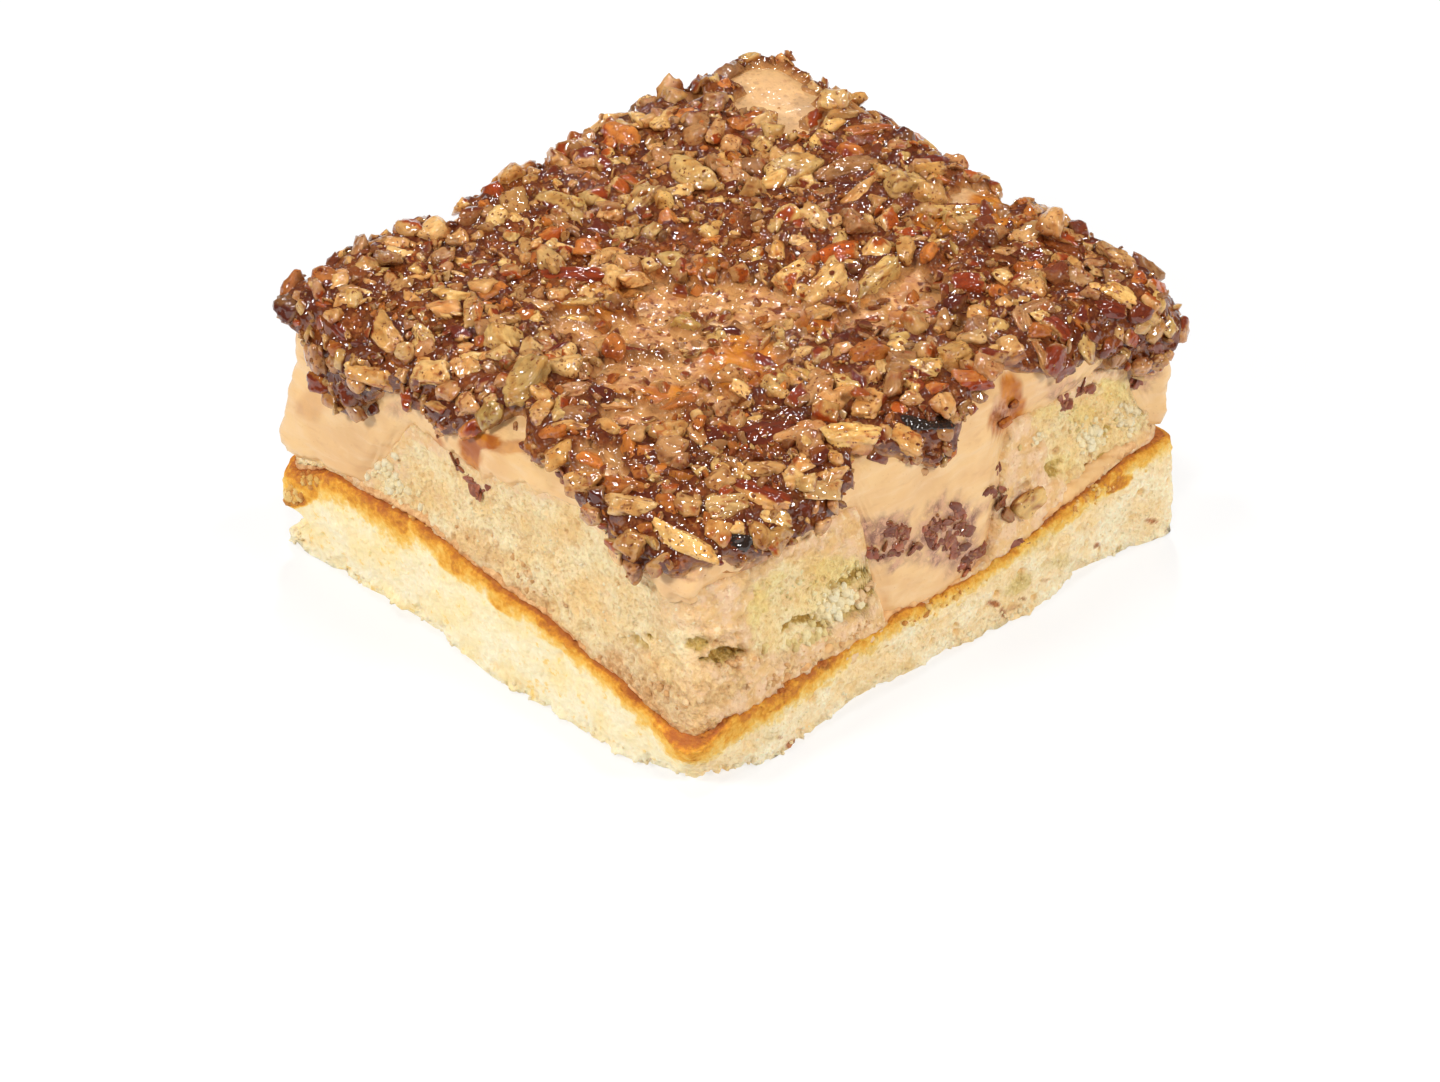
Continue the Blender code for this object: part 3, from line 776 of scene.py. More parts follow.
# the fourth colour of each sponge is the colour of its painted shade in hollows
BASE_MAT = sponge_material("base_sponge_crumb", rgb(251, 237, 200), rgb(250, 227, 172), rgb(240, 194, 116), True)
UPPER_MAT = sponge_material("upper_sponge_crumb", rgb(252, 229, 180), rgb(246, 208, 146), rgb(210, 152, 84), False)
FILLING_MAT = cream_material("filling_cream", False)
ICING_MAT = cream_material("caramel_buttercream", True)
PASTE_MAT = paste_material("pecan_paste")
NUT_MAT = nut_material("pecan_nut")
SKIN_MAT = nut_material("pecan_skin", 1.0, 0.7)
BIT_MAT = nut_material("pecan_bit", 1.0, 0.7)
STRAY_MAT = nut_material("stray_pecan", 0.5, 0.7)
CRUMB_MAT = crumb_material("loose_crumb")

# ---------------------------------------------------------------------------------------------------------------------
# camera
# ---------------------------------------------------------------------------------------------------------------------

AZIMUTH, ELEVATION = math.radians(46.8), math.radians(34.8)
DISTANCE, SCALE = 800.0, 7.621  # from the cake's middle, and pixels per millimetre there
FRAME_W, FRAME_H = 1440.0, 1082.0
AIM = np.array([0.0, 0.0, 22.15])
AIM_PIXEL = (724.6, 400.6)
BACK = np.array(
    [math.sin(AZIMUTH) * math.cos(ELEVATION), -math.cos(AZIMUTH) * math.cos(ELEVATION), math.sin(ELEVATION)]
)
RIGHT = np.array([math.cos(AZIMUTH), math.sin(AZIMUTH), 0.0])
UP = np.cross(BACK, RIGHT)
FOCAL = SCALE * DISTANCE
EYE = AIM + BACK * DISTANCE


def sight(px, py):
    """The direction in which the camera sees the pixel (px, py) of its 1440 x 1082 frame."""
    d = (px - AIM_PIXEL[0]) / FOCAL * RIGHT - (py - AIM_PIXEL[1]) / FOCAL * UP - BACK
    return d / np.linalg.norm(d)


camera_data = bpy.data.cameras.new("camera")
camera = bpy.data.objects.new("camera", camera_data)
bpy.context.scene.collection.objects.link(camera)
camera_data.sensor_width = 36.0
camera_data.lens = FOCAL * 36.0 / FRAME_W
camera_data.clip_start, camera_data.clip_end = 0.01, 20.0
look = sight(FRAME_W / 2, FRAME_H / 2)
side = RIGHT - look * (RIGHT @ look)
side /= np.linalg.norm(side)
over = np.cross(side, look)
camera.matrix_world = Matrix(
    [
        [side[0], over[0], -look[0], EYE[0] * MM],
        [side[1], over[1], -look[1], EYE[1] * MM],
        [side[2], over[2], -look[2], EYE[2] * MM],
        [0, 0, 0, 1],
    ]
)
bpy.context.scene.camera = camera



def facing(points, out):
    """1 where the surface faces the camera, 0 where it faces away."""
    return smooth((out @ BACK + 0.15) / 0.2)


def pixels(points):
    """Where the camera sees the points, in the pixels of its 1440 x 1082 frame."""
    q = points + SHIFT - EYE
    depth = -(q @ BACK)
    return AIM_PIXEL[0] + FOCAL * (q @ RIGHT) / depth, AIM_PIXEL[1] - FOCAL * (q @ UP) / depth


def spots(px, py, rows, uneven=0.0):
    """The strength, 0 to 1, of oval places: (x, y, half length, half width, angle, strength)."""
    found = np.zeros(len(px))
    for x, y, a, b, angle, much in rows:
        c, s = math.cos(math.radians(angle)), math.sin(math.radians(angle))
        u, v = (px - x) * c + (py - y) * s, -(px - x) * s + (py - y) * c
        found = np.maximum(found, much * smooth((1.2 + uneven - np.hypot(u / a, v / b)) / 0.45))
    return found


def within(px, py, outline_pixels):
    """How far inside an outline the points are, in pixels. Negative outside."""
    ring = np.array(outline_pixels, float)
    best = np.full(len(px), 1e9)
    inside = np.zeros(len(px), bool)
    for (x0, y0), (x1, y1) in zip(ring, np.roll(ring, -1, 0)):
        ex, ey = x1 - x0, y1 - y0
        t = np.clip(((px - x0) * ex + (py - y0) * ey) / (ex * ex + ey * ey), 0, 1)
        best = np.minimum(best, np.hypot(px - x0 - t * ex, py - y0 - t * ey))
        crossing = (y0 > py) != (y1 > py)
        inside ^= crossing & (px < ex * (py - y0) / (ey if ey else 1e-9) + x0)
    return np.where(inside, best, -best)


# ---------------------------------------------------------------------------------------------------------------------
# base sponge
# ---------------------------------------------------------------------------------------------------------------------

SHOWN = WIDTH_X + WIDTH_Y
S_FINE = np.concatenate(
    [
        np.linspace(0, SHOWN, 520, endpoint=False),
        np.linspace(SHOWN, PERIMETER, 240, endpoint=False),
    ]
)
N_FINE = len(S_FINE)
FACE_RIGHT = smooth((S_FINE - WIDTH_X + 3) / 6) * smooth((SHOWN + 6 - S_FINE) / 6)


def along(s):
    """Points on a closed line, for noise that runs round the sides without a seam."""
    turn = 2 * math.pi * np.asarray(s, float) / PERIMETER
    r = PERIMETER / (2 * math.pi)
    return np.stack([r * np.cos(turn), r * np.sin(turn), 0 * turn], -1)


def ground(points, seed):
    """The crumb's relief: soft unevenness, open pores, and a few larger holes. Positive is outwards."""
    relief = 0.30 * waves(points, 7.0, seed) + 0.20 * waves(points, 2.3, seed + 1) + 0.10 * waves(points, 0.9, seed + 2)
    first, _, _ = cells(points, 1.5, seed + 3)
    pores = -0.30 * smooth(1 - first / 0.5)
    first, _, name = cells(points, 3.1, seed + 4)
    holes = -0.75 * smooth(1 - first / 0.30) * (name > 0.62)
    return relief, pores, holes


RIM_S = (0, 20, 40, 52, 60, 66, 74, 79, 86, 93, 100, 106, 113, 120, 127, 137, 145, 149, 153, 160, 167, 190, 320, 334)
RIM_UP = (
    0.3, 0.7, 2.0, 2.7, 2.1, 2.4, 2.0, 1.9, 3.2, 3.2, 3.6, 4.0, 4.4, 4.4, 3.6, 3.5, 2.6, 1.2, 0.4, 0.3, 0.2, 0.4, 0.4, 0.3
)
BAND_S = (0, 20, 40, 60, 72, 80, 90, 102, 115, 126, 140, 151, 160, 167, 200, 240, 290, 334)
BAND = (6.0, 6.6, 4.0, 3.2, 4.6, 6.6, 6.0, 5.6, 3.8, 3.0, 3.2, 3.2, 3.6, 3.6, 4.4, 3.4, 4.4, 6.0)


def rim_up(s):
    """How far the browned rim stands up round the cream, in millimetres."""
    return np.interp(s, RIM_S, RIM_UP) * (1 + 0.18 * waves(along(s), 5.0, 48))


def make_base():
    s = S_FINE
    up = rim_up(s)
    corner = bump(s, WIDTH_X, 15.0)
    foot = (
        0.25 + 2.0 * bump(s, WIDTH_X + HY + 28, 8.0) + 0.7 * corner + 1.3 * bump(s, 24.0, 20.0) + 1.9 * bump(s, 114.0, 22.0)
    ) + 0.25 * waves(along(s), 2.6, 71)
    # crumbs have come away along the lower edge
    foot += 1.0 * smooth((waves(along(s), 4.4, 73) - 0.05) / 0.4) + 0.5 * smooth((waves(along(s), 1.7, 74) - 0.1) / 0.4)
    foot = np.maximum(foot, 0.12)
    rows, below, levels = [], [], []
    for inset in (6.0, 3.4, 2.8, 2.4, 2.1, 1.8, 1.5, 1.2, 0.9, 0.65):
        tip = sum(high * bump(s, c, w) for c, w, high, _ in BASE_TIPS) * smooth((2.5 - inset) / 2.0)
        x, y = outline(s, inset - tip)
        share = smooth((3.2 - inset) / 1.3)
        rows.append(np.stack([x, y, base_top(x, y) + up * share - 0.10 * smooth((1.2 - inset) / 0.6)], -1))
        below.append(0 * s - inset)
        levels.append(0 * s + 1.0)
    steps = 50
    for k in range(steps + 1):
        level = 1 - k / steps
        under = (3.0 * corner + 1.0) * (1 - level) ** 1.6
        notch = 2.8 * bump(s, 0.0, 7.0) * math.exp(-(((level - 0.3) / 0.14) ** 2))
        tip = sum((low + (high - low) * level) * bump(s, c, w) for c, w, high, low in BASE_TIPS)
        edge = 0.45 * max(0.0, 1 - (1 - level) / 0.05) ** 2
        x, y = outline(s, under + notch - tip + edge)
        top = base_top(x, y) + up
        z = foot + (top - foot) * level - 0.22 * (level > 0.99)
        rows.append(np.stack([x, y, z], -1))
        below.append(top - z)
        levels.append(0 * s + level)
    for inset, share in ((0.6, 0.45), (1.6, 0.25), (3.5, 0.1)):
        under = 3.0 * corner + 1.0
        x, y = outline(s, under + inset)
        rows.append(np.stack([x, y, np.maximum(foot * share, 0.03)], -1))
        below.append(base_top(x, y))
        levels.append(0 * s)
    x, y = outline(s, 5.5 + 2.0 * corner)
    rows.append(np.stack([x, y, 0 * s], -1))
    below.append(base_top(x, y))
    levels.append(0 * s)
    points = np.array(rows).reshape(-1, 3)
    below, levels = np.array(below).ravel(), np.array(levels).ravel()
    ss = np.tile(s, len(rows))
    faces = sheet_faces(len(rows), N_FINE)
    count = len(points)
    points = np.vstack([points, [[0, 0, float(base_top(np.array(0.0), np.array(0.0)))], [0, 0, 0.0]]])
    faces = np.concatenate([faces, fan(np.arange(N_FINE), count), fan(np.arange(count - N_FINE, count), count + 1, True)])
    out = normals(points, faces)
    if out[N_FINE * 30, :2] @ points[N_FINE * 30, :2] < 0:
        faces, out = faces[:, ::-1], -out
    relief, pores, holes = ground(points, 3)
    right = np.concatenate([np.tile(FACE_RIGHT, len(rows)), [0, 0]])
    side = np.concatenate([(levels > 0.02) * (levels < 1) + 0.8 * (levels >= 1), [0, 0]])
    side = np.where(np.arange(len(points)) < N_FINE * 2, 0, side)
    ragged = np.concatenate([smooth((0.2 - levels) / 0.2) * (levels > 0), [0, 0]])
    rim = np.concatenate([smooth((1.2 - np.abs(below)) / 1.0) * (levels > 0.4), [0, 0]])
    fluff = 0.16 * waves(points, 0.85, 33) + 0.10 * waves(points, 0.6, 34)
    first, second, name = cells(points, 2.6, 38)
    fluff = fluff + right * 0.34 * smooth((second - first) / 0.6) * (name - 0.2)
    move = side * (relief * 0.9 + fluff + pores * (0.65 + 0.7 * right) + holes * (0.30 + 0.9 * right))
    move += rim * (0.30 * waves(points, 1.3, 35) + 0.25 * waves(points, 3.1, 36))
    move += ragged * (0.75 * waves(points, 1.6, 31) + 0.55 * waves(points, 0.8, 32) + 0.7 * waves(points, 3.6, 37))
    points = points + out * move[:, None]
    points[:, 2] = np.maximum(points[:, 2], 0.0)
    # how strongly each place is baked
    band = np.interp(ss, BAND_S, BAND)
    uneven = 0.8 * waves(points[:count], 2.6, 41) + 1.2 * waves(points[:count], 7.0, 42) + 0.4 * waves(points[:count], 1.1, 43)
    uneven = 0.7 * uneven
    t = np.where(below < 0, below, np.maximum(below + uneven, 0.3 * below))
    crust = 1 - np.clip((t + 0.95) / (band + 0.95), 0, 1)
    crust = crust - 0.08 * np.abs(waves(points[:count], 2.0, 46)) - 0.06 * smooth((waves(points[:count], 5.0, 47)) / 0.4)
    blotch = smooth((waves(points[:count], 4.2, 44) - 0.30) / 0.3) * smooth((9 - below) / 6) * smooth((34 - ss) / 12)
    crust = np.maximum(crust, 0.50 * blotch * (below > 0))
    px, py = pixels(points[:count])
    bright = spots(
        px,
        py,
        (
            (690, 746, 16, 10, 20, 0.78),
            (676, 736, 10, 8, 30, 0.72),
            (775, 704, 14, 8, -30, 0.74),
            (735, 730, 22, 9, -25, 0.6),
            (1120, 483, 16, 6, -30, 0.76),
            (1090, 498, 16, 5, -30, 0.6),
            (1145, 462, 10, 5, -50, 0.6),
            (345, 490, 26, 9, 30, 0.7),
            (395, 520, 24, 9, 38, 0.68),
            (450, 562, 20, 10, 40, 0.66),
            (500, 602, 16, 8, 40, 0.6),
            (310, 488, 10, 14, 0, 0.72),
            (296, 500, 12, 8, 0, 0.8),
        ),
        0.3 * waves(points[:count], 1.8, 45),
    )
    crust = np.maximum(crust, bright * (below > 0.1))
    crust = np.concatenate([crust, [1, 0]])
    # painted shade: darker in the pores and holes of the crumb, more on the torn right-hand face
    hollow_shade = np.clip(-(pores * 0.6 + holes * 0.9) * (0.5 + 0.6 * right) * 1.4, 0, 0.8)
    shown = facing(points, out)
    px, py = pixels(points)
    rough_edge = 0.30 * waves(points, 1.6, 51) + 0.2 * waves(points, 0.8, 52)
    # painted shade: yellow-olive where pits in the torn right-hand face lie in shade
    olive = shown * spots(
        px,
        py,
        (
            (1020, 583, 14, 9, -30, 0.75),
            (1012, 590, 10, 6, 0, 0.5),
            (1062, 560, 12, 7, -25, 0.5),
            (1048, 566, 8, 5, 0, 0.3),
            (905, 668, 14, 6, -30, 0.25),
            (860, 690, 16, 6, -30, 0.2),
            (770, 738, 12, 6, -20, 0.3),
            (1040, 545, 20, 8, -35, 0.2),
        ),
        rough_edge,
    )
    burnt = shown * spots(
        px,
        py,
        (
            (994, 604, 7, 3.0, 20, 0.9),
            (1003, 613, 6, 3.0, 70, 0.8),
            (1012, 608, 7, 2.0, -20, 0.5),
            (1022, 599, 5, 1.8, 0, 0.7),
            (1097, 545, 4, 2.2, -45, 0.8),
            (1152, 521, 6, 2.2, 15, 0.9),
            (1045, 580, 3, 1.6, 0, 0.5),
            (780, 738, 3, 1.5, 0, 0.7),
            (793, 744, 9, 4.5, -30, 0.9),
            (824, 664, 6, 7.0, 0, 0.8),
            (1168, 530, 3, 2, 0, 0.5),
            (300, 500, 5, 3, 30, 0.4),
            (316, 478, 6, 3, 20, 0.5),
        ),
        rough_edge,
    )
    return build(
        "base_sponge_crumb",
        points,
        faces,
        "base_sponge",
        BASE_MAT,
        {"crust": crust, "hollow_shade": hollow_shade, "olive": olive, "right": right, "burnt": burnt},
    )


# ---------------------------------------------------------------------------------------------------------------------
# upper sponge
# ---------------------------------------------------------------------------------------------------------------------

def spread_hem(s):
    """The lower edge of the spread icing, with its small runs and gaps."""
    x, y = outline(s, 1.5)
    z = icing_hem(s)
    free = smooth((z - base_top(x, y) - 1.2) / 2.0)
    q = along(s)
    uneven = 0.75 * waves(q, 3.2, 91) + 0.5 * waves(q, 1.3, 92) + 0.9 * waves(q, 8.0, 93)
    return np.where(free > 0, z + free * uneven, z) - 0.45 * (1 - free)


HEM_STEP = 0.3
HEM_TABLE_S = np.arange(0, PERIMETER, HEM_STEP)
HEM_TABLE = spread_hem(HEM_TABLE_S)


def from_icing(s, z, reach):
    """How far points below the icing's edge are from the icing, up to reach."""
    index = np.round(s / HEM_STEP).astype(int)
    best = np.full(len(s), reach)
    for k in range(-int(reach / HEM_STEP), int(reach / HEM_STEP) + 1):
        up = np.maximum(HEM_TABLE[(index + k) % len(HEM_TABLE)] - z, 0)
        best = np.minimum(best, np.hypot(k * HEM_STEP, up))
    return best


def inside_icing(s, z, reach):
    """How far points on the icing are from its edge, up to reach."""
    index = np.round(s / HEM_STEP).astype(int)
    best = np.full(len(s), reach)
    for k in range(-int(reach / HEM_STEP), int(reach / HEM_STEP) + 1):
        down = np.maximum(z - HEM_TABLE[(index + k) % len(HEM_TABLE)], 0)
        best = np.minimum(best, np.hypot(k * HEM_STEP, down))
    return best


# as the camera sees the right-hand face: the outlines of the two windows of bare crumb
WINDOWS = (
    ((747, 602), (755, 580), (782, 562), (815, 555), (850, 556), (874, 566), (880, 590), (868, 604), (845, 614),
     (835, 624), (815, 632), (800, 642), (780, 653), (755, 652), (746, 630)),
    ((1035, 408), (1060, 402), (1085, 395), (1100, 378), (1125, 380), (1135, 398), (1152, 405), (1148, 426),
     (1128, 446), (1112, 458), (1092, 464), (1075, 482), (1055, 480), (1040, 470), (1046, 450), (1033, 430)),
)
# hollows: x, y, half length, half width, angle, depth in millimetres, how dark the olive painted shade inside is
HOLLOWS = (
    (724, 657, 22, 8, -4, 2.2, 0.62),
    (738, 654, 9, 4, -15, 0.5, 0.80),
    (699, 645, 12, 8, 10, 1.0, 0.45),
    (806, 620, 12, 4.5, -12, 0.8, 0.70),
    (790, 627, 8, 4, -45, 0.7, 0.80),
    (824, 625, 9, 4, -10, 0.7, 0.55),
    (860, 573, 13, 6, -25, 0.6, 0.72),
    (846, 582, 8, 5, -20, 0.5, 0.50),
    (868, 590, 9, 5, -20, 0.6, 0.72),
    (832, 586, 9, 5, 10, 0.3, 0.35),
    (858, 608, 12, 5, -25, 0.7, 0.45),
    (845, 616, 10, 5, -20, 0.6, 0.35),
    (1078, 486, 14, 5, -30, 1.3, 0.55),
    (1093, 470, 9, 6, -50, 0.9, 0.50),
    (1106, 459, 8, 4, -30, 0.7, 0.5),
    (1052, 471, 9, 5, 30, 0.6, 0.60),
    (1056, 463, 7, 4, -20, 0.4, 0.42),
    (1108, 432, 7, 4, -50, 0.6, 0.5),
    (1138, 412, 5, 4, 0, 0.4, 0.5),
    (1122, 452, 8, 4, -30, 0.5, 0.3),
    (608, 545, 3.6, 3, 45, 0.5, 0.95),
    (647, 637, 3.6, 3, 20, 0.5, 0.95),
    (636, 642, 11, 5, 40, 0.9, 0.35),
    (622, 640, 6, 4, 30, 0.5, 0.22),
    (552, 608, 9, 4, 40, 0.5, 0.0),
    (585, 630, 9, 4, 40, 0.5, 0.0),
    (510, 556, 10, 5, 30, 0.5, 0.0),
    (672, 688, 12, 5, 20, 0.6, 0.0),
)
# crumb soaked brown
SOAKED = (
    (478, 548, 30, 16, 40, 0.4),
    (640, 672, 40, 22, 38, 0.45),
    (690, 696, 34, 22, 0, 0.6),
    (660, 620, 14, 26, -10, 0.3),
)
# cream smeared over the left-hand face and the front corner
SMEARS = (
    (690, 600, 20, 30, -15, 0.9),
    (660, 575, 18, 12, 30, 0.75),
    (718, 605, 30, 30, 0, 1.0),
    (668, 612, 8, 22, -20, 0.5),
    (398, 470, 14, 8, 40, 0.7),
    (440, 500, 20, 5, 40, 0.3),
    (640, 655, 10, 4, 40, 0.4),
)
# crumb with a yellow-green cast
GREENISH = (
    (757, 605, 12, 22, 10, 0.8),
    (775, 582, 14, 8, -40, 0.6),
    (836, 572, 28, 14, -10, 0.7),
    (815, 600, 14, 12, 0, 0.3),
    (1112, 385, 16, 9, 20, 0.9),
    (1120, 395, 16, 8, 0, 0.6),
    (1080, 415, 16, 9, -20, 0.7),
    (1048, 412, 14, 6, -10, 0.4),
    (1060, 465, 18, 10, 0, 0.5),
    (600, 560, 20, 12, 0, 0.15),
)
# open places in the hidden sides: s, height, half width, half height, depth, how dark the olive painted shade inside is
CAVITIES = (
    (219.0, 22.0, 2.6, 1.1, 1.4, 0.5),
    (235.0, 20.0, 3.0, 1.4, 1.6, 0.5),
    (262.0, 24.0, 2.4, 1.2, 1.4, 0.5),
    (271.0, 21.0, 2.8, 0.9, 1.2, 0.4),
    (316.0, 23.0, 2.6, 1.2, 1.3, 0.4),
)


def make_upper():
    s = S_FINE
    x, y = outline(s, 1.4, 0.4)
    low = bed(x, y) + 0.3
    high = np.minimum(sponge_top(x, y, s), icing_hem(s) + 2.8)
    high = np.maximum(high, low + 2.5)
    steps = 62
    rows = []
    for inset, z in ((7.0, low + 0.3), (3.6, low)):
        px, py = outline(s, inset, 0.4)
        rows.append(np.stack([px, py, z], -1))
    for k in range(steps + 1):
        t = k / steps
        z = low + (high - low) * t
        inset = 1.0 + 1.15 * smooth((z - 13) / 14) + 0.8 * (t > 0.999)
        inset = inset + 0.9 * bump(s, WIDTH_X, 9.0) * smooth((z - 16) / 6)
        px, py = outline(s, inset, 0.3)
        rows.append(np.stack([px, py, z], -1))
    px, py = outline(s, 7.0, 0.4)
    rows.append(np.stack([px, py, high + 0.2], -1))
    points = np.array(rows).reshape(-1, 3)
    count = len(points)
    ss = np.tile(s, len(rows))
    faces = sheet_faces(len(rows), N_FINE)
    points = np.vstack([points, [[0, 0, 18.0], [0, 0, 34.0]]])
    faces = np.concatenate([faces, fan(np.arange(N_FINE), count), fan(np.arange(count - N_FINE, count), count + 1, True)])
    out = normals(points, faces)
    if out[N_FINE * 30, :2] @ points[N_FINE * 30, :2] < 0:
        faces, out = faces[:, ::-1], -out
    sides = np.concatenate([(np.arange(count) >= 2 * N_FINE) * (np.arange(count) < count - N_FINE), [0, 0]]).astype(float)
    sss = np.concatenate([ss, [1e3, 1e3]])
    p = points
    right = np.concatenate([np.tile(FACE_RIGHT, len(rows)), [0, 0]])
    relief, pores, holes = ground(p, 13)
    fluff = 0.23 * waves(p, 0.9, 68) + 0.16 * waves(p, 0.6, 69)
    first, second, name = cells(p, 2.4, 61)
    clumps = 0.30 * smooth((second - first) / 0.7) * (0.4 + name)
    rough_here = 0.6 + 0.4 * smooth((waves(p, 9.0, 62) + 0.2) / 0.6) + 0.35 * right
    pit_first, _, pit_name = cells(p, 1.3, 63)
    pits = -0.75 * smooth(1 - pit_first / 0.42) * smooth((waves(p, 4.5, 64) - 0.18) / 0.22)
    move = relief * 1.1 + fluff + (pores * 0.9 + holes * 0.9 + pits) * rough_here + clumps - 0.15
    shown = facing(p, out)
    px, py = pixels(p)
    rough_edge = 0.42 * waves(p, 1.9, 65) + 0.40 * waves(p, 0.85, 70)
    # painted shade: olive darkening inside the hollows and cavities, which are also pressed in
    olive = np.zeros(len(p))
    for rows, depth in ((HOLLOWS, None),):
        for x, y, a, b, angle, deep_mm, tint in rows:
            place_here = shown * spots(px, py, ((x, y, a, b, angle, 1.0),), rough_edge)
            move = move - 0.75 * deep_mm * place_here
            olive = np.maximum(olive, 0.9 * tint * place_here)
    for cs, cz, rs, rz, depth, tint in CAVITIES:
        d = np.hypot((sss - cs) / rs, (p[:, 2] - cz) / rz) - rough_edge
        move = move - depth * smooth((1.15 - d) / 0.5)
        olive = np.maximum(olive, tint * smooth((1.2 - d) / 0.45))
    foot = np.concatenate([np.tile(low + 0.8 * rim_up(s), count // N_FINE), [0, 0]])
    uneven = waves(p, 2.8, 66) + 0.6 * waves(p, 1.1, 67)
    wet = 0.6 + 3.0 * bump(sss, 40.0, 16.0) + 4.0 * bump(sss, 70.0, 17.0)
    soak = smooth((wet - (p[:, 2] - foot) + 2.4 * waves(p, 4.5, 90) + 1.2 * uneven) / 3.0)
    soak = np.maximum(soak, 0.3 * smooth((waves(p, 3.6, 75) - 0.3) / 0.3))
    soak = np.maximum(soak, shown * spots(px, py, SOAKED, rough_edge))
    near = from_icing(np.where(sss > PERIMETER, 0, sss), p[:, 2], 4.0)
    smear = smooth((1.0 - near + 1.0 * uneven) / 1.6)
    # on the right-hand face the crumb shows through two windows in the smeared cream
    ragged = 5.0 * waves(p, 2.6, 71) + 4.0 * waves(p, 1.1, 72) + 2.0 * waves(p, 0.6, 73)
    open_here = np.full(len(p), -99.0)
    for ring in WINDOWS:
        open_here = np.maximum(open_here, within(px, py, ring))
    open_here = smooth((open_here + ragged + 5) / 9)
    bare = np.maximum(1 - right, open_here)
    near_foot = smooth((7.0 - (p[:, 2] - foot)) / 4.5) * smooth((89 - sss) / 8)
    thickly = smooth((0.45 + 0.6 * smooth((sss - 102) / 8) + 0.9 * waves(p, 3.4, 79) + 0.6 * waves(p, 1.3, 80) + 0.4 * waves(p, 0.7, 99) - 0.62 * near_foot) / 0.55)
    smear = np.where(right > 0.01, 0.96 * (1 - bare) * thickly, smear)
    soak = np.maximum(soak, 0.8 * right * (1 - open_here))
    smear = np.maximum(smear, shown * spots(px, py, SMEARS, rough_edge))
    smear = np.maximum(smear, (1 - shown) * 0.9 * smooth((waves(p, 8.0, 77) - 0.22) / 0.15))
    smear = smear * (1 - smooth(olive / 0.3))
    # painted shade: darker in the pores, holes and pits of the crumb, less where cream is smeared over them
    hollow_shade = np.clip(-(pores * 0.7 + holes * 0.8 + pits * 0.9) * rough_here * 1.1, 0, 0.85) * (1 - 0.7 * smear)
    green = 0.25 * right + shown * spots(px, py, GREENISH, rough_edge)
    # smeared cream fills the crumb's pores and lies in low folds
    folds = 0.42 * waves(p * np.array([0.35, 0.35, 1.0]), 1.5, 76) + 0.22 * waves(p, 1.1, 78)
    move = move + open_here * right * (0.26 * waves(p, 1.2, 123) + 0.16 * waves(p, 0.62, 124))
    flush = 1 - smooth(near / 3.0)
    move = move * (1 - 0.7 * smear) + smear * ((0.45 - 0.2 * flush) + folds * (1 - 0.6 * flush)) + 0.15 * right * flush
    points = points + out * (move * sides)[:, None]
    piece = build(
        "upper_sponge_crumb",
        points,
        faces,
        "upper_sponge",
        UPPER_MAT,
        {"soak": soak * 0.9, "smear": smear, "hollow_shade": hollow_shade, "olive": olive, "green": np.clip(green, 0, 1)},
    )
    return piece, points, faces


def z_above(p, foot):
    return p[:, 2] - foot


# ---------------------------------------------------------------------------------------------------------------------
# cream between the sponges
# ---------------------------------------------------------------------------------------------------------------------


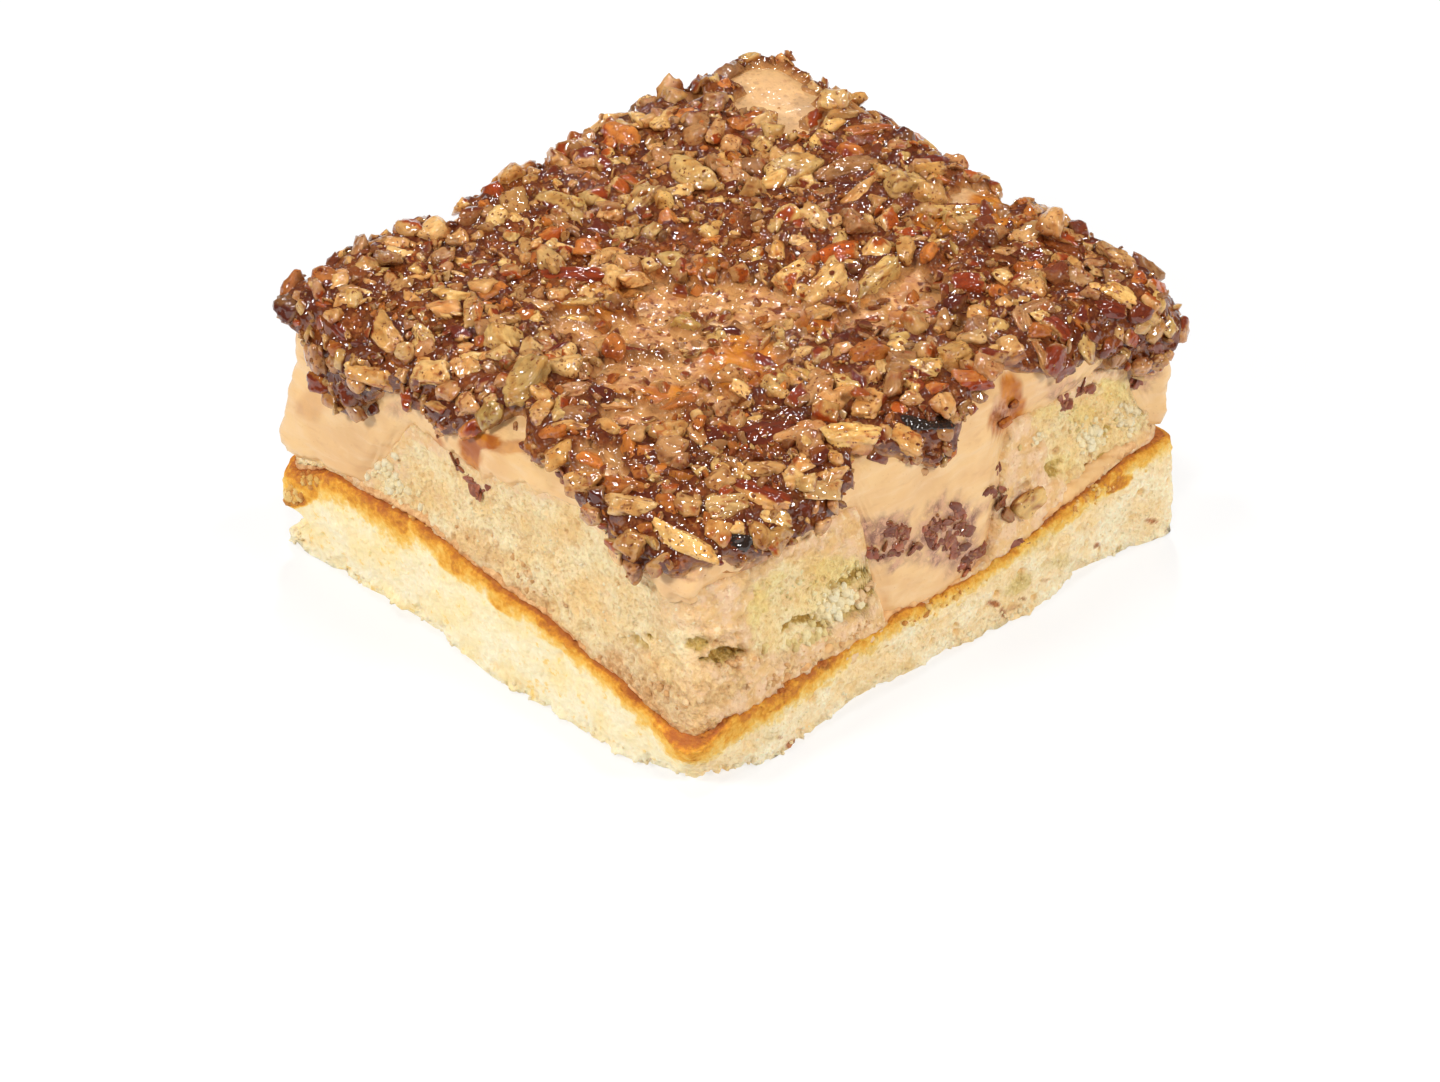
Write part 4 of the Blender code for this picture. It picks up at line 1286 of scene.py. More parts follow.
def make_filling():
    s = S_FINE
    q = along(s)
    bulge = 0.30 * waves(q, 3.0, 81) + 0.25 * waves(q, 1.2, 82)
    creamy = smooth((s - 82) / 8) * smooth((166 - s) / 10)
    up = rim_up(s)
    rise = 1.9 + 0.8 * waves(q, 4.0, 83) + 0.5 * waves(q, 1.5, 84)
    rise += 1.6 * bump(s, 100.0, 22.0) * (1 + 0.5 * waves(q, 5.0, 85)) + 1.0 * bump(s, 150.0, 14.0)
    rise = np.maximum(rise - 0.6 * up, 0.8)
    rows, share_up = [], []
    x, y = outline(s, 5.0)
    rows.append(np.stack([x, y, bed(x, y) + 0.1], -1))
    shape = ((1.15, 0.0), (0.85, 0.12), (0.75, 0.3), (0.82, 0.48), (0.98, 0.64), (1.2, 0.78), (1.5, 0.89), (1.85, 0.96), (2.5, 1.0))
    for inset, share in shape:
        x, y = outline(s, inset + 0.30 - 0.25 * creamy - bulge * math.sin(math.pi * min(share, 1.0)))
        z0 = base_top(x, y) + up - 0.05
        rows.append(np.stack([x, y, z0 + rise * share], -1))
    x, y = outline(s, 5.0)
    rows.append(np.stack([x, y, bed(x, y) + rise], -1))
    points = np.array(rows)
    # more points up the band
    dense = []
    for a, b in zip(points[:-1], points[1:]):
        for t in (0.0, 0.5):
            dense.append(a + (b - a) * t)
    dense.append(points[-1])
    points = np.array(dense).reshape(-1, 3)
    count, n_rows = len(points), len(dense)
    ss = np.tile(s, n_rows)
    faces = sheet_faces(n_rows, N_FINE)
    points = np.vstack([points, [[0, 0, 15.0], [0, 0, 17.5]]])
    faces = np.concatenate([faces, fan(np.arange(N_FINE), count), fan(np.arange(count - N_FINE, count), count + 1, True)])
    out = normals(points, faces)
    if out[N_FINE * 8, :2] @ points[N_FINE * 8, :2] < 0:
        faces, out = faces[:, ::-1], -out
    first, second, _ = cells(points, 1.2, 86)
    crumb = np.concatenate([1 - 0.95 * np.tile(creamy, n_rows), [0, 0]])
    crumb = np.clip(crumb + 0.35 * waves(points, 4.0, 88), 0, 1)
    px, py = outline(np.tile(s, n_rows), 1.0)
    over = points[:count, 2] - base_top(px, py) - np.tile(up, n_rows)
    brown = np.concatenate([smooth((1.5 - over + 0.8 * waves(points[:count], 1.5, 49)) / 1.8), [0, 0]])
    move = 0.22 * waves(points, 1.6, 87) + 0.22 * waves(points, 0.8, 89) - 0.4 * smooth(1 - first / 0.45) * crumb
    inner = np.concatenate([(np.arange(count) >= 2 * N_FINE) * (np.arange(count) < count - 2 * N_FINE), [0, 0]])
    points = points + out * (move * inner)[:, None]
    return build("filling_cream", points, faces, "cream_filling", FILLING_MAT, {"crumb": crumb, "brown": brown})


# ---------------------------------------------------------------------------------------------------------------------
# icing, and the surface that carries the pecans
# ---------------------------------------------------------------------------------------------------------------------


def carrier(nx, ny, hem, steps, seed=0.0):
    """The icing's outer surface as a grid over the top joined to lines down the sides. Returns the points, faces, and for
    every point how far down its line it is in millimetres, its line's length, and its s."""
    gx, gy = np.meshgrid(-HX + WIDTH_X * np.arange(nx + 1) / nx, -HY + WIDTH_Y * np.arange(ny + 1) / ny, indexing="ij")
    m, s = towards(gx.ravel(), gy.ravel())
    wide, _ = shoulder(s)
    x, y = outline(s, wide + icing_inset(s, ICING_TOP))
    x, y = x * m, y * m
    top = np.stack([x, y, icing_top(x, y)], -1)
    index = np.arange((nx + 1) * (ny + 1)).reshape(nx + 1, ny + 1)
    a, b, c, d = index[:-1, :-1], index[1:, :-1], index[1:, 1:], index[:-1, 1:]
    faces = [np.stack([a, b, c], -1).reshape(-1, 3), np.stack([a, c, d], -1).reshape(-1, 3)]
    ring = np.concatenate([index[:-1, 0], index[-1, :-1], index[:0:-1, -1], index[0, :0:-1]])
    s_ring = np.concatenate(
        [
            WIDTH_X * np.arange(nx) / nx,
            WIDTH_X + WIDTH_Y * np.arange(ny) / ny,
            SHOWN + WIDTH_X * np.arange(nx) / nx,
            SHOWN + WIDTH_X + WIDTH_Y * np.arange(ny) / ny,
        ]
    )
    columns = len(ring)
    insets, heights, lengths = side_lines(s_ring, hem(s_ring), steps)
    rows = []
    for k in range(1, steps + 1):
        x, y = outline(s_ring, insets[k] + icing_inset(s_ring, heights[k]))
        rows.append(np.stack([x, y, heights[k]], -1))
    first = len(top)
    sides = np.array(rows).reshape(-1, 3)
    # the ring of the top's edge joins the first line of the sides
    r = np.arange(columns)
    q = (r + 1) % columns
    faces.append(np.stack([ring[r], first + r, ring[q]], -1))
    faces.append(np.stack([ring[q], first + r, first + q], -1))
    faces.append(sheet_faces(steps, columns, first))
    points = np.vstack([top, sides])
    faces = np.concatenate(faces)
    down = np.concatenate([np.full(first, 0.0), (lengths[None] * (np.arange(1, steps + 1) / steps)[:, None]).ravel()])
    long = np.concatenate([np.full(first, 99.0), np.tile(lengths, steps)])
    ss = np.concatenate([s, np.tile(s_ring, steps)])
    last = np.arange(len(points) - columns, len(points))
    out = normals(points, faces)
    if out[: first].sum(0)[2] < 0:
        faces, out = faces[:, ::-1], -out
    return points, faces, out, down, long, ss, last


# places where the cream shows between the nuts, and pools of amber syrup, as the camera sees them: pixel, half width and half
# height in pixels, strength
CREAM_PLACES = (
    (790, 88, 52, 24, 1.0),
    (795, 118, 28, 20, 1.0),
    (732, 76, 46, 14, 1.0),
    (684, 98, 26, 9, 0.8),
    (760, 104, 30, 12, 0.9),
    (600, 124, 34, 11, 0.9),
    (520, 170, 36, 12, 0.9),
    (448, 212, 22, 16, 1.0),
    (560, 148, 20, 8, 0.6),
    (860, 98, 30, 9, 0.8),
    (985, 202, 34, 14, 0.9),
    (1095, 240, 16, 8, 0.7),
    (672, 303, 48, 20, 1.0),
    (650, 338, 50, 20, 0.95),
    (600, 345, 34, 14, 0.7),
    (735, 305, 56, 22, 0.9),
    (790, 318, 36, 20, 0.9),
    (700, 360, 36, 30, 0.85),
    (745, 356, 38, 32, 0.9),
    (640, 382, 44, 20, 0.9),
    (600, 470, 26, 22, 0.75),
    (542, 480, 46, 20, 1.0),
    (640, 418, 40, 12, 0.7),
    (905, 300, 40, 26, 0.95),
    (868, 320, 26, 14, 0.8),
    (955, 335, 18, 10, 0.6),
    (690, 400, 44, 12, 0.7),
    (570, 330, 24, 10, 0.5),
)
FLECK_PLACES = (
    (672, 305, 44, 24, 1.0),
    (650, 338, 50, 24, 1.0),
    (735, 300, 54, 30, 1.0),
    (700, 360, 38, 36, 1.0),
    (745, 350, 44, 44, 1.0),
    (640, 385, 44, 26, 1.0),
    (800, 320, 36, 26, 1.0),
    (905, 300, 46, 34, 1.0),
    (868, 320, 36, 24, 1.0),
    (955, 335, 24, 18, 1.0),
    (690, 400, 50, 20, 1.0),
    (610, 320, 40, 26, 1.0),
    (570, 345, 30, 20, 1.0),
    (600, 470, 30, 28, 1.0),
    (640, 418, 48, 18, 1.0),
    (600, 124, 30, 10, 0.7),
    (520, 170, 32, 10, 0.7),
    (860, 98, 30, 9, 0.7),
)
SYRUP_PLACES = (
    (745, 368, 34, 26, 1.0),
    (815, 325, 22, 12, 0.7),
    (850, 300, 18, 10, 0.5),
    (965, 225, 50, 14, 0.9),
    (990, 205, 24, 10, 0.8),
    (660, 395, 40, 10, 0.7),
    (600, 300, 40, 18, 0.5),
    (640, 270, 30, 10, 0.3),
    (432, 452, 10, 16, 0.9),
    (472, 452, 11, 18, 1.0),
    (484, 442, 18, 8, 0.9),
    (512, 446, 30, 7, 0.4),
    (700, 270, 26, 14, 0.4),
    (1012, 400, 12, 26, 0.8),
    (1000, 420, 12, 12, 0.7),
    (905, 320, 20, 10, 0.4),
    (310, 405, 14, 16, 0.22),
    (290, 330, 10, 18, 0.18),
)


STAIN_PLACES = (
    (888, 540, 32, 26, 0.95),
    (948, 534, 32, 36, 0.95),
    (1006, 506, 20, 24, 0.9),
    (980, 560, 34, 14, 0.8),
    (905, 556, 40, 10, 0.5),
    (468, 486, 12, 12, 0.7),
    (1002, 410, 10, 18, 0.6),
    (1142, 362, 20, 30, 0.8),
    (1072, 390, 32, 10, 0.7),
    (690, 572, 14, 8, 0.6),
    (812, 512, 40, 8, 0.5),
    (400, 408, 14, 8, 0.5),
)


def seen(points, places, uneven):
    """How strongly each point lies in one of the places."""
    q = points + SHIFT - EYE
    depth = -(q @ BACK)
    px = AIM_PIXEL[0] + FOCAL * (q @ RIGHT) / depth
    py = AIM_PIXEL[1] - FOCAL * (q @ UP) / depth
    found = np.zeros(len(points))
    for x, y, w, h, much in places:
        d = np.hypot((px - x) / w, (py - y) / h) + uneven
        found = np.maximum(found, much * smooth((1.25 - d) / 0.5))
    return found


def make_icing():
    points, faces, out, down, long, ss, last = carrier(118, 130, spread_hem, 52)
    count = len(points)
    # the spread thins towards its edge
    on_side = smooth(down / 3.0)
    smeared = np.maximum(smooth((ss - WIDTH_X + 3) / 6) * smooth((SHOWN + 6 - ss) / 6), bump(ss, 22.0, 13.0))
    edge = inside_icing(ss, points[:, 2], 4.5)
    edge = np.clip(edge + 0.9 * waves(points, 2.2, 23) + 0.45 * waves(points, 0.9, 24), 0, 4.5)
    thin = (1 - smooth(edge / (2.1 + 2.2 * smeared))) * (down > 0) * smooth((33.5 - points[:, 2]) / 1.0 + 1.0)
    stretched = points * np.array([0.35, 0.35, 1.0])
    relief = 0.28 * waves(stretched, 1.9, 94) + 0.34 * waves(points, 6.0, 95) + 0.10 * waves(stretched, 0.7, 96)
    # folds where the spread cream doubled over at two corners
    folds = 0.32 * np.sin(points[:, 2] * 1.05 + 0.9 * waves(points, 6.0, 97) * 3) * (
        bump(ss, SHOWN, 12.0) + 0.5 * bump(ss, 0.0, 10.0)
    )
    sink = (1.0 + 0.35 * smeared) * thin ** (1.4 - 0.3 * smeared)
    move = (relief + folds) * on_side * (1 - 0.5 * thin) - sink + 0.16 * on_side * bump(edge, 1.6, 0.9) * (1 - smeared)
    points = points + out * move[:, None]
    sway = (1.0 * waves(points, 4.6, 25) + 0.5 * waves(points, 1.8, 26)) * on_side * smooth((31 - points[:, 2]) / 5)
    sway *= 1 - bump(ss, 20.0, 18.0)
    sway *= (1 - thin) * (1 - np.maximum.reduce([bump(ss, c, 9.0) for c in (0.0, WIDTH_X, SHOWN, SHOWN + WIDTH_X, PERIMETER)]))
    points = points + np.stack([-out[:, 1], out[:, 0], 0 * sway], -1) * sway[:, None]
    # the inner edge of the lip
    x, y = outline(ss[last], 3.0, 0.4)
    inner = np.stack([x, y, points[last][:, 2] + 0.3], -1)
    first = count
    points = np.vstack([points, inner])
    n = len(last)
    r = np.arange(n)
    q = (r + 1) % n
    extra = np.concatenate([np.stack([last[r], first + r, last[q]], -1), np.stack([last[q], first + r, first + q], -1)])
    faces = np.concatenate([faces, extra if outward(points, extra[:50]) else extra[:, ::-1]])
    uneven = 0.35 * waves(points, 2.2, 98)
    lumpy = seen(points[:count], FLECK_PLACES, uneven[:count]) * facing(points[:count], out) * (1 - on_side)
    points[:count] += out * (lumpy * (0.42 * waves(points[:count], 1.7, 121) + 0.2 * waves(points[:count], 0.9, 122)))[:, None]
    shown = np.concatenate([facing(points[:count], out), np.zeros(n)])
    syrup = seen(points, SYRUP_PLACES, uneven) * shown
    fleck = np.maximum(seen(points, FLECK_PLACES, uneven), 0.30) * shown + 0.6 * (1 - shown)
    fleck *= np.concatenate([smooth((4 - down) / 3), np.zeros(n)])
    stain = seen(points, STAIN_PLACES, 1.6 * uneven) * shown
    return build(
        "caramel_buttercream",
        points,
        faces,
        "caramel_icing",
        ICING_MAT,
        {"syrup": np.clip(syrup * 1.5, 0, 1), "fleck": fleck, "stain": stain},
    )


def outward(points, faces):
    """Whether these faces of a side turn out, away from the middle, or down."""
    a, b, c = points[faces[:, 0]], points[faces[:, 1]], points[faces[:, 2]]
    n = np.cross(b - a, c - a)
    middle = (a + b + c) / 3
    return float((n[:, 0] * middle[:, 0] + n[:, 1] * middle[:, 1] - n[:, 2] * 20).sum()) > 0


def make_paste():
    """The fine crumbs in syrup that the nuts lie in. It dips under the icing where the cream shows."""
    def hem(s):
        return pecan_hem(s) - 0.6

    points, faces, out, down, long, ss, last = carrier(170, 188, hem, 34)
    base, base_out = points.copy(), out.copy()
    left = long - down
    uneven = 0.4 * waves(points, 3.0, 101) + 0.25 * waves(points, 1.3, 102)
    cream = seen(points, CREAM_PLACES, uneven) * facing(points, out)
    # the same kind of bare places on the far sides
    far = 1 - facing(points, out)
    cream = np.maximum(cream, far * smooth((waves(points, 9.0, 103) - 0.42) / 0.2))
    thick = 1.15 + 0.55 * waves(points, 5.5, 104) + 0.35 * waves(points, 2.2, 105)
    first, second, name = cells(points, 1.7, 106)
    grains = 0.26 * smooth(1 - first / 0.62) * (0.4 + 0.8 * name)
    edge = smooth((2.6 - left + 1.2 * waves(points, 2.5, 107)) / 2.4)
    lift = thick + grains * (1 - 0.6 * cream) - 2.35 * cream - 2.6 * edge
    cover = smooth((lift - 0.1) / 0.7)
    flecked = seen(points, FLECK_PLACES, 0.3 * waves(points, 2.2, 98)) * facing(points, out)
    least = np.where(edge < 0.1, -0.45 * (1 - flecked) + (0.42 * waves(points, 1.5, 108) - 0.10) * flecked, -0.5)
    lift = np.maximum(lift, least)
    points = points + out * lift[:, None]
    syrup = seen(points, SYRUP_PLACES, uneven) * facing(base, base_out)
    creamy = smooth((0.75 - lift) / 0.6) * 0.75 + 0.35 * cream
    marks = {"syrup": np.clip(syrup * 1.2, 0, 1) * 0.85, "creamy": np.clip(creamy, 0, 1)}
    return marks, points, faces, base, base_out, cover, down, left


base_piece = make_base()
upper_piece, upper_points, upper_faces = make_upper()
filling_piece = make_filling()
icing_piece = make_icing()
paste_marks, paste_points, paste_faces, paste_base, paste_out, paste_cover, paste_down, paste_left = make_paste()

# ---------------------------------------------------------------------------------------------------------------------
# chopped pecans
# ---------------------------------------------------------------------------------------------------------------------

FLESH = (
    rgb(220, 176, 108),  # pale yellow
    rgb(202, 150, 88),  # tan
    rgb(178, 128, 78),  # greyish tan
    rgb(188, 112, 46),  # orange tan
    rgb(186, 150, 82),  # greenish
)
SKINS = (rgb(150, 60, 12), rgb(166, 76, 16), rgb(130, 48, 10), rgb(108, 38, 8))
DARK = (rgb(102, 38, 10), rgb(88, 32, 8), rgb(114, 50, 22))
BLACK = rgb(42, 28, 20)
SYRUP = rgb(178, 110, 62)


def balls():
    """Unit spheres of 20, 80, 320 and 1280 triangles."""
    out = []
    for level in (1, 2, 3, 4):
        bm = bmesh.new()
        bmesh.ops.create_icosphere(bm, subdivisions=level, radius=1.0)
        bm.verts.ensure_lookup_table()
        points = np.array([v.co for v in bm.verts])
        faces = np.array([[v.index for v in f.verts] for f in bm.faces])
        bm.free()
        out.append((points / np.linalg.norm(points, axis=1, keepdims=True), faces))
    return out


BALLS = balls()


def turned(rng):
    q = rng.normal(size=4)
    q /= np.linalg.norm(q)
    w, x, y, z = q
    return np.array(
        [
            [1 - 2 * (y * y + z * z), 2 * (x * y - w * z), 2 * (x * z + w * y)],
            [2 * (x * y + w * z), 1 - 2 * (x * x + z * z), 2 * (y * z - w * x)],
            [2 * (x * z - w * y), 2 * (y * z + w * x), 1 - 2 * (x * x + y * y)],
        ]
    )


def nut(rng, level, kind, tone):
    """One chopped piece of about unit half size, long along x and with z up: (points, faces, colours)."""
    d, faces = BALLS[level]
    salt = rng.uniform(-50, 50, 3)
    big = level >= 2
    domed = kind in "SD" and level >= 3 and rng.random() < 0.8
    cuts = []
    if domed:
        # part of a half nut: a domed back with furrows, cut across at its ends and flat below
        for sign in (1.0, -1.0):
            cuts.append((np.array([sign, rng.uniform(-0.5, 0.5), rng.uniform(-0.3, 0.3)]), rng.uniform(0.72, 0.95), False))
        cuts.append((np.array([rng.uniform(-0.2, 0.2), rng.uniform(-0.2, 0.2), -1.0]), rng.uniform(0.35, 0.6), False))
        if rng.random() < 0.7:
            side = np.array([rng.uniform(-0.4, 0.4), rng.choice([-1.0, 1.0]), rng.uniform(-0.2, 0.5)])
            cuts.append((side, rng.uniform(0.55, 0.8), False))
        round_radius, round_skin = 1.0, True
        power = 16.0
    else:
        # a chunk with rough flat faces
        for axis in range(3):
            for sign in (1.0, -1.0):
                v = rng.normal(0, 0.30, 3)
                v[axis] = sign
                cuts.append((v, rng.uniform(0.52, 0.92), False))
        for _ in range(int(rng.integers(1, 4))):
            cuts.append((rng.normal(size=3), rng.uniform(0.66, 0.96), False))
        round_radius, round_skin = rng.uniform(1.12, 1.45), kind in "SD"
        if kind in "MSD":
            way = rng.uniform(0, 2 * math.pi)
            v = np.array([0.8 * math.cos(way), math.sin(way), rng.uniform(0.0, 0.7)])
            cuts.append((v, rng.uniform(0.55, 0.75), True))
            if kind in "SD":
                cuts[4] = (cuts[4][0], cuts[4][1] * 0.9, True)
        power = rng.uniform(12.0, 30.0)
    terms = [np.full(len(d), (1 / round_radius) ** power)]
    skins = [round_skin]
    for v, off, skin in cuts:
        v = v / np.linalg.norm(v)
        terms.append((np.maximum(d @ v, 0) / off) ** power)
        skins.append(skin)
    terms = np.array(terms)
    r = terms.sum(0) ** (-1 / power)
    skin = (terms * np.array(skins)[:, None]).sum(0) / terms.sum(0)
    if big:
        lumps = waves(d + salt, 0.8, 7)
        small = waves(d + salt, 0.36, 8)
        r = r * (1 + 0.16 * lumps + 0.10 * small - 0.10 * smooth((0.12 - np.abs(lumps)) / 0.12))
        if level == 3:
            r = r * (1 + 0.045 * waves(d + salt, 0.2, 16))
    else:
        small = waves(d + salt, 0.7, 7)
        r = r * (1 + 0.20 * small)
    points = d * r[:, None]
    low, high = points.min(0), points.max(0)
    points = (points - (low + high) / 2) / ((high - low) / 2)
    if domed:
        up = smooth((d[:, 2] - 0.05) / 0.5)
        middle = rng.uniform(-0.15, 0.15)
        furrow = np.exp(-(((points[:, 1] - middle) / 0.12) ** 2)) * 0.22
        lines = 0.04 * np.sin(11 * points[:, 1] + 2.2 * waves(points + salt, 0.6, 9) * 2)
        points[:, 2] -= (furrow * (1 if kind == "S" else 0.5) + lines) * up
    # colours
    base = np.array(FLESH[tone]) * rng.uniform(0.72, 1.14)
    base = base * np.array([1.0, rng.uniform(0.94, 1.0), rng.uniform(0.84, 1.04)])
    flesh = base[None] * (1 + 0.20 * waves(d + salt, 0.55, 10) + 0.28 * small)[:, None]
    # paler on the raised ridges and more orange in the hollows, following the relief
    flesh = flesh * np.array([1.0, 0.93, 0.84])[None] ** (-1.1 * small[:, None])
    if kind == "B":
        flesh = np.array(BLACK)[None] * (1 + 0.3 * waves(d + salt, 0.4, 12))[:, None]
    coats = DARK if kind == "D" else SKINS
    coat = np.array(coats[int(rng.integers(len(coats)))]) * rng.uniform(0.85, 1.15)
    coat = coat[None] * (1 + 0.26 * waves(d + salt, 0.4, 13))[:, None]
    if domed:
        # paler ridges between the furrows
        coat = coat * (1 + 0.2 * np.sin(11 * points[:, 1])[:, None])
    share = smooth((skin + 0.30 * waves(d + salt, 0.4, 14) - 0.38) / 0.2)
    if kind == "D":
        share = np.maximum(share, 0.75)
    if kind in "FM" and big:
        # a thin remnant of skin in a crack
        crack = smooth((0.07 - np.abs(waves(d + salt, 0.9, 15) - 0.22)) / 0.05)
        share = np.maximum(share, 0.8 * crack * (rng.random() < 0.7))
    colour = flesh * (1 - share[:, None]) + coat * share[:, None]
    # the syrup stands round the foot of each piece and in thin films on it; the darkening towards each piece's foot is
    # partly painted shade
    wet = 0.85 * smooth((0.06 - points[:, 2] + 0.45 * waves(d + salt, 0.7, 17)) / 0.6)
    film = 0.7 * smooth((waves(d + salt, 0.8, 18) - 0.08) / 0.3)
    bare = 1.0 if kind in "FM" else 0.4
    colour = colour * (1 - film[:, None] * bare * (1 - np.array([0.80, 0.60, 0.38])[None]))
    colour = colour * (1 - wet[:, None] * bare * (1 - np.array([0.50, 0.25, 0.11])[None]))
    return points, faces, np.clip(colour, 0.004, 1)


class Heap:
    """Pieces of one kind, gathered into one mesh."""

    def __init__(self):
        self.points, self.faces, self.colours, self.count = [], [], [], 0

    def add(self, points, faces, colours):
        self.points.append(points)
        self.faces.append(faces + self.count)
        self.colours.append(colours)
        self.count += len(points)

    def all(self):
        return np.vstack(self.points), np.vstack(self.faces), np.vstack(self.colours)


def basis(along, up):
    z = up / np.linalg.norm(up)
    x = along - z * (along @ z)
    x /= max(np.linalg.norm(x), 1e-9)
    return np.stack([x, np.cross(z, x), z], 1)


def tilt(rng, amount):
    ax, ay = rng.normal(0, amount, 2)
    cx, sx, cy, sy = math.cos(ax), math.sin(ax), math.cos(ay), math.sin(ay)
    return np.array([[1, 0, 0], [0, cx, -sx], [0, sx, cx]]) @ np.array([[cy, 0, sy], [0, 1, 0], [-sy, 0, cy]])


def tree_of(*parts):
    points, faces, first = [], [], 0
    for p, f in parts:
        points.append(p)
        faces.append(f + first)
        first += len(p)
    return BVHTree.FromPolygons(np.vstack(points).tolist(), np.vstack(faces).tolist())


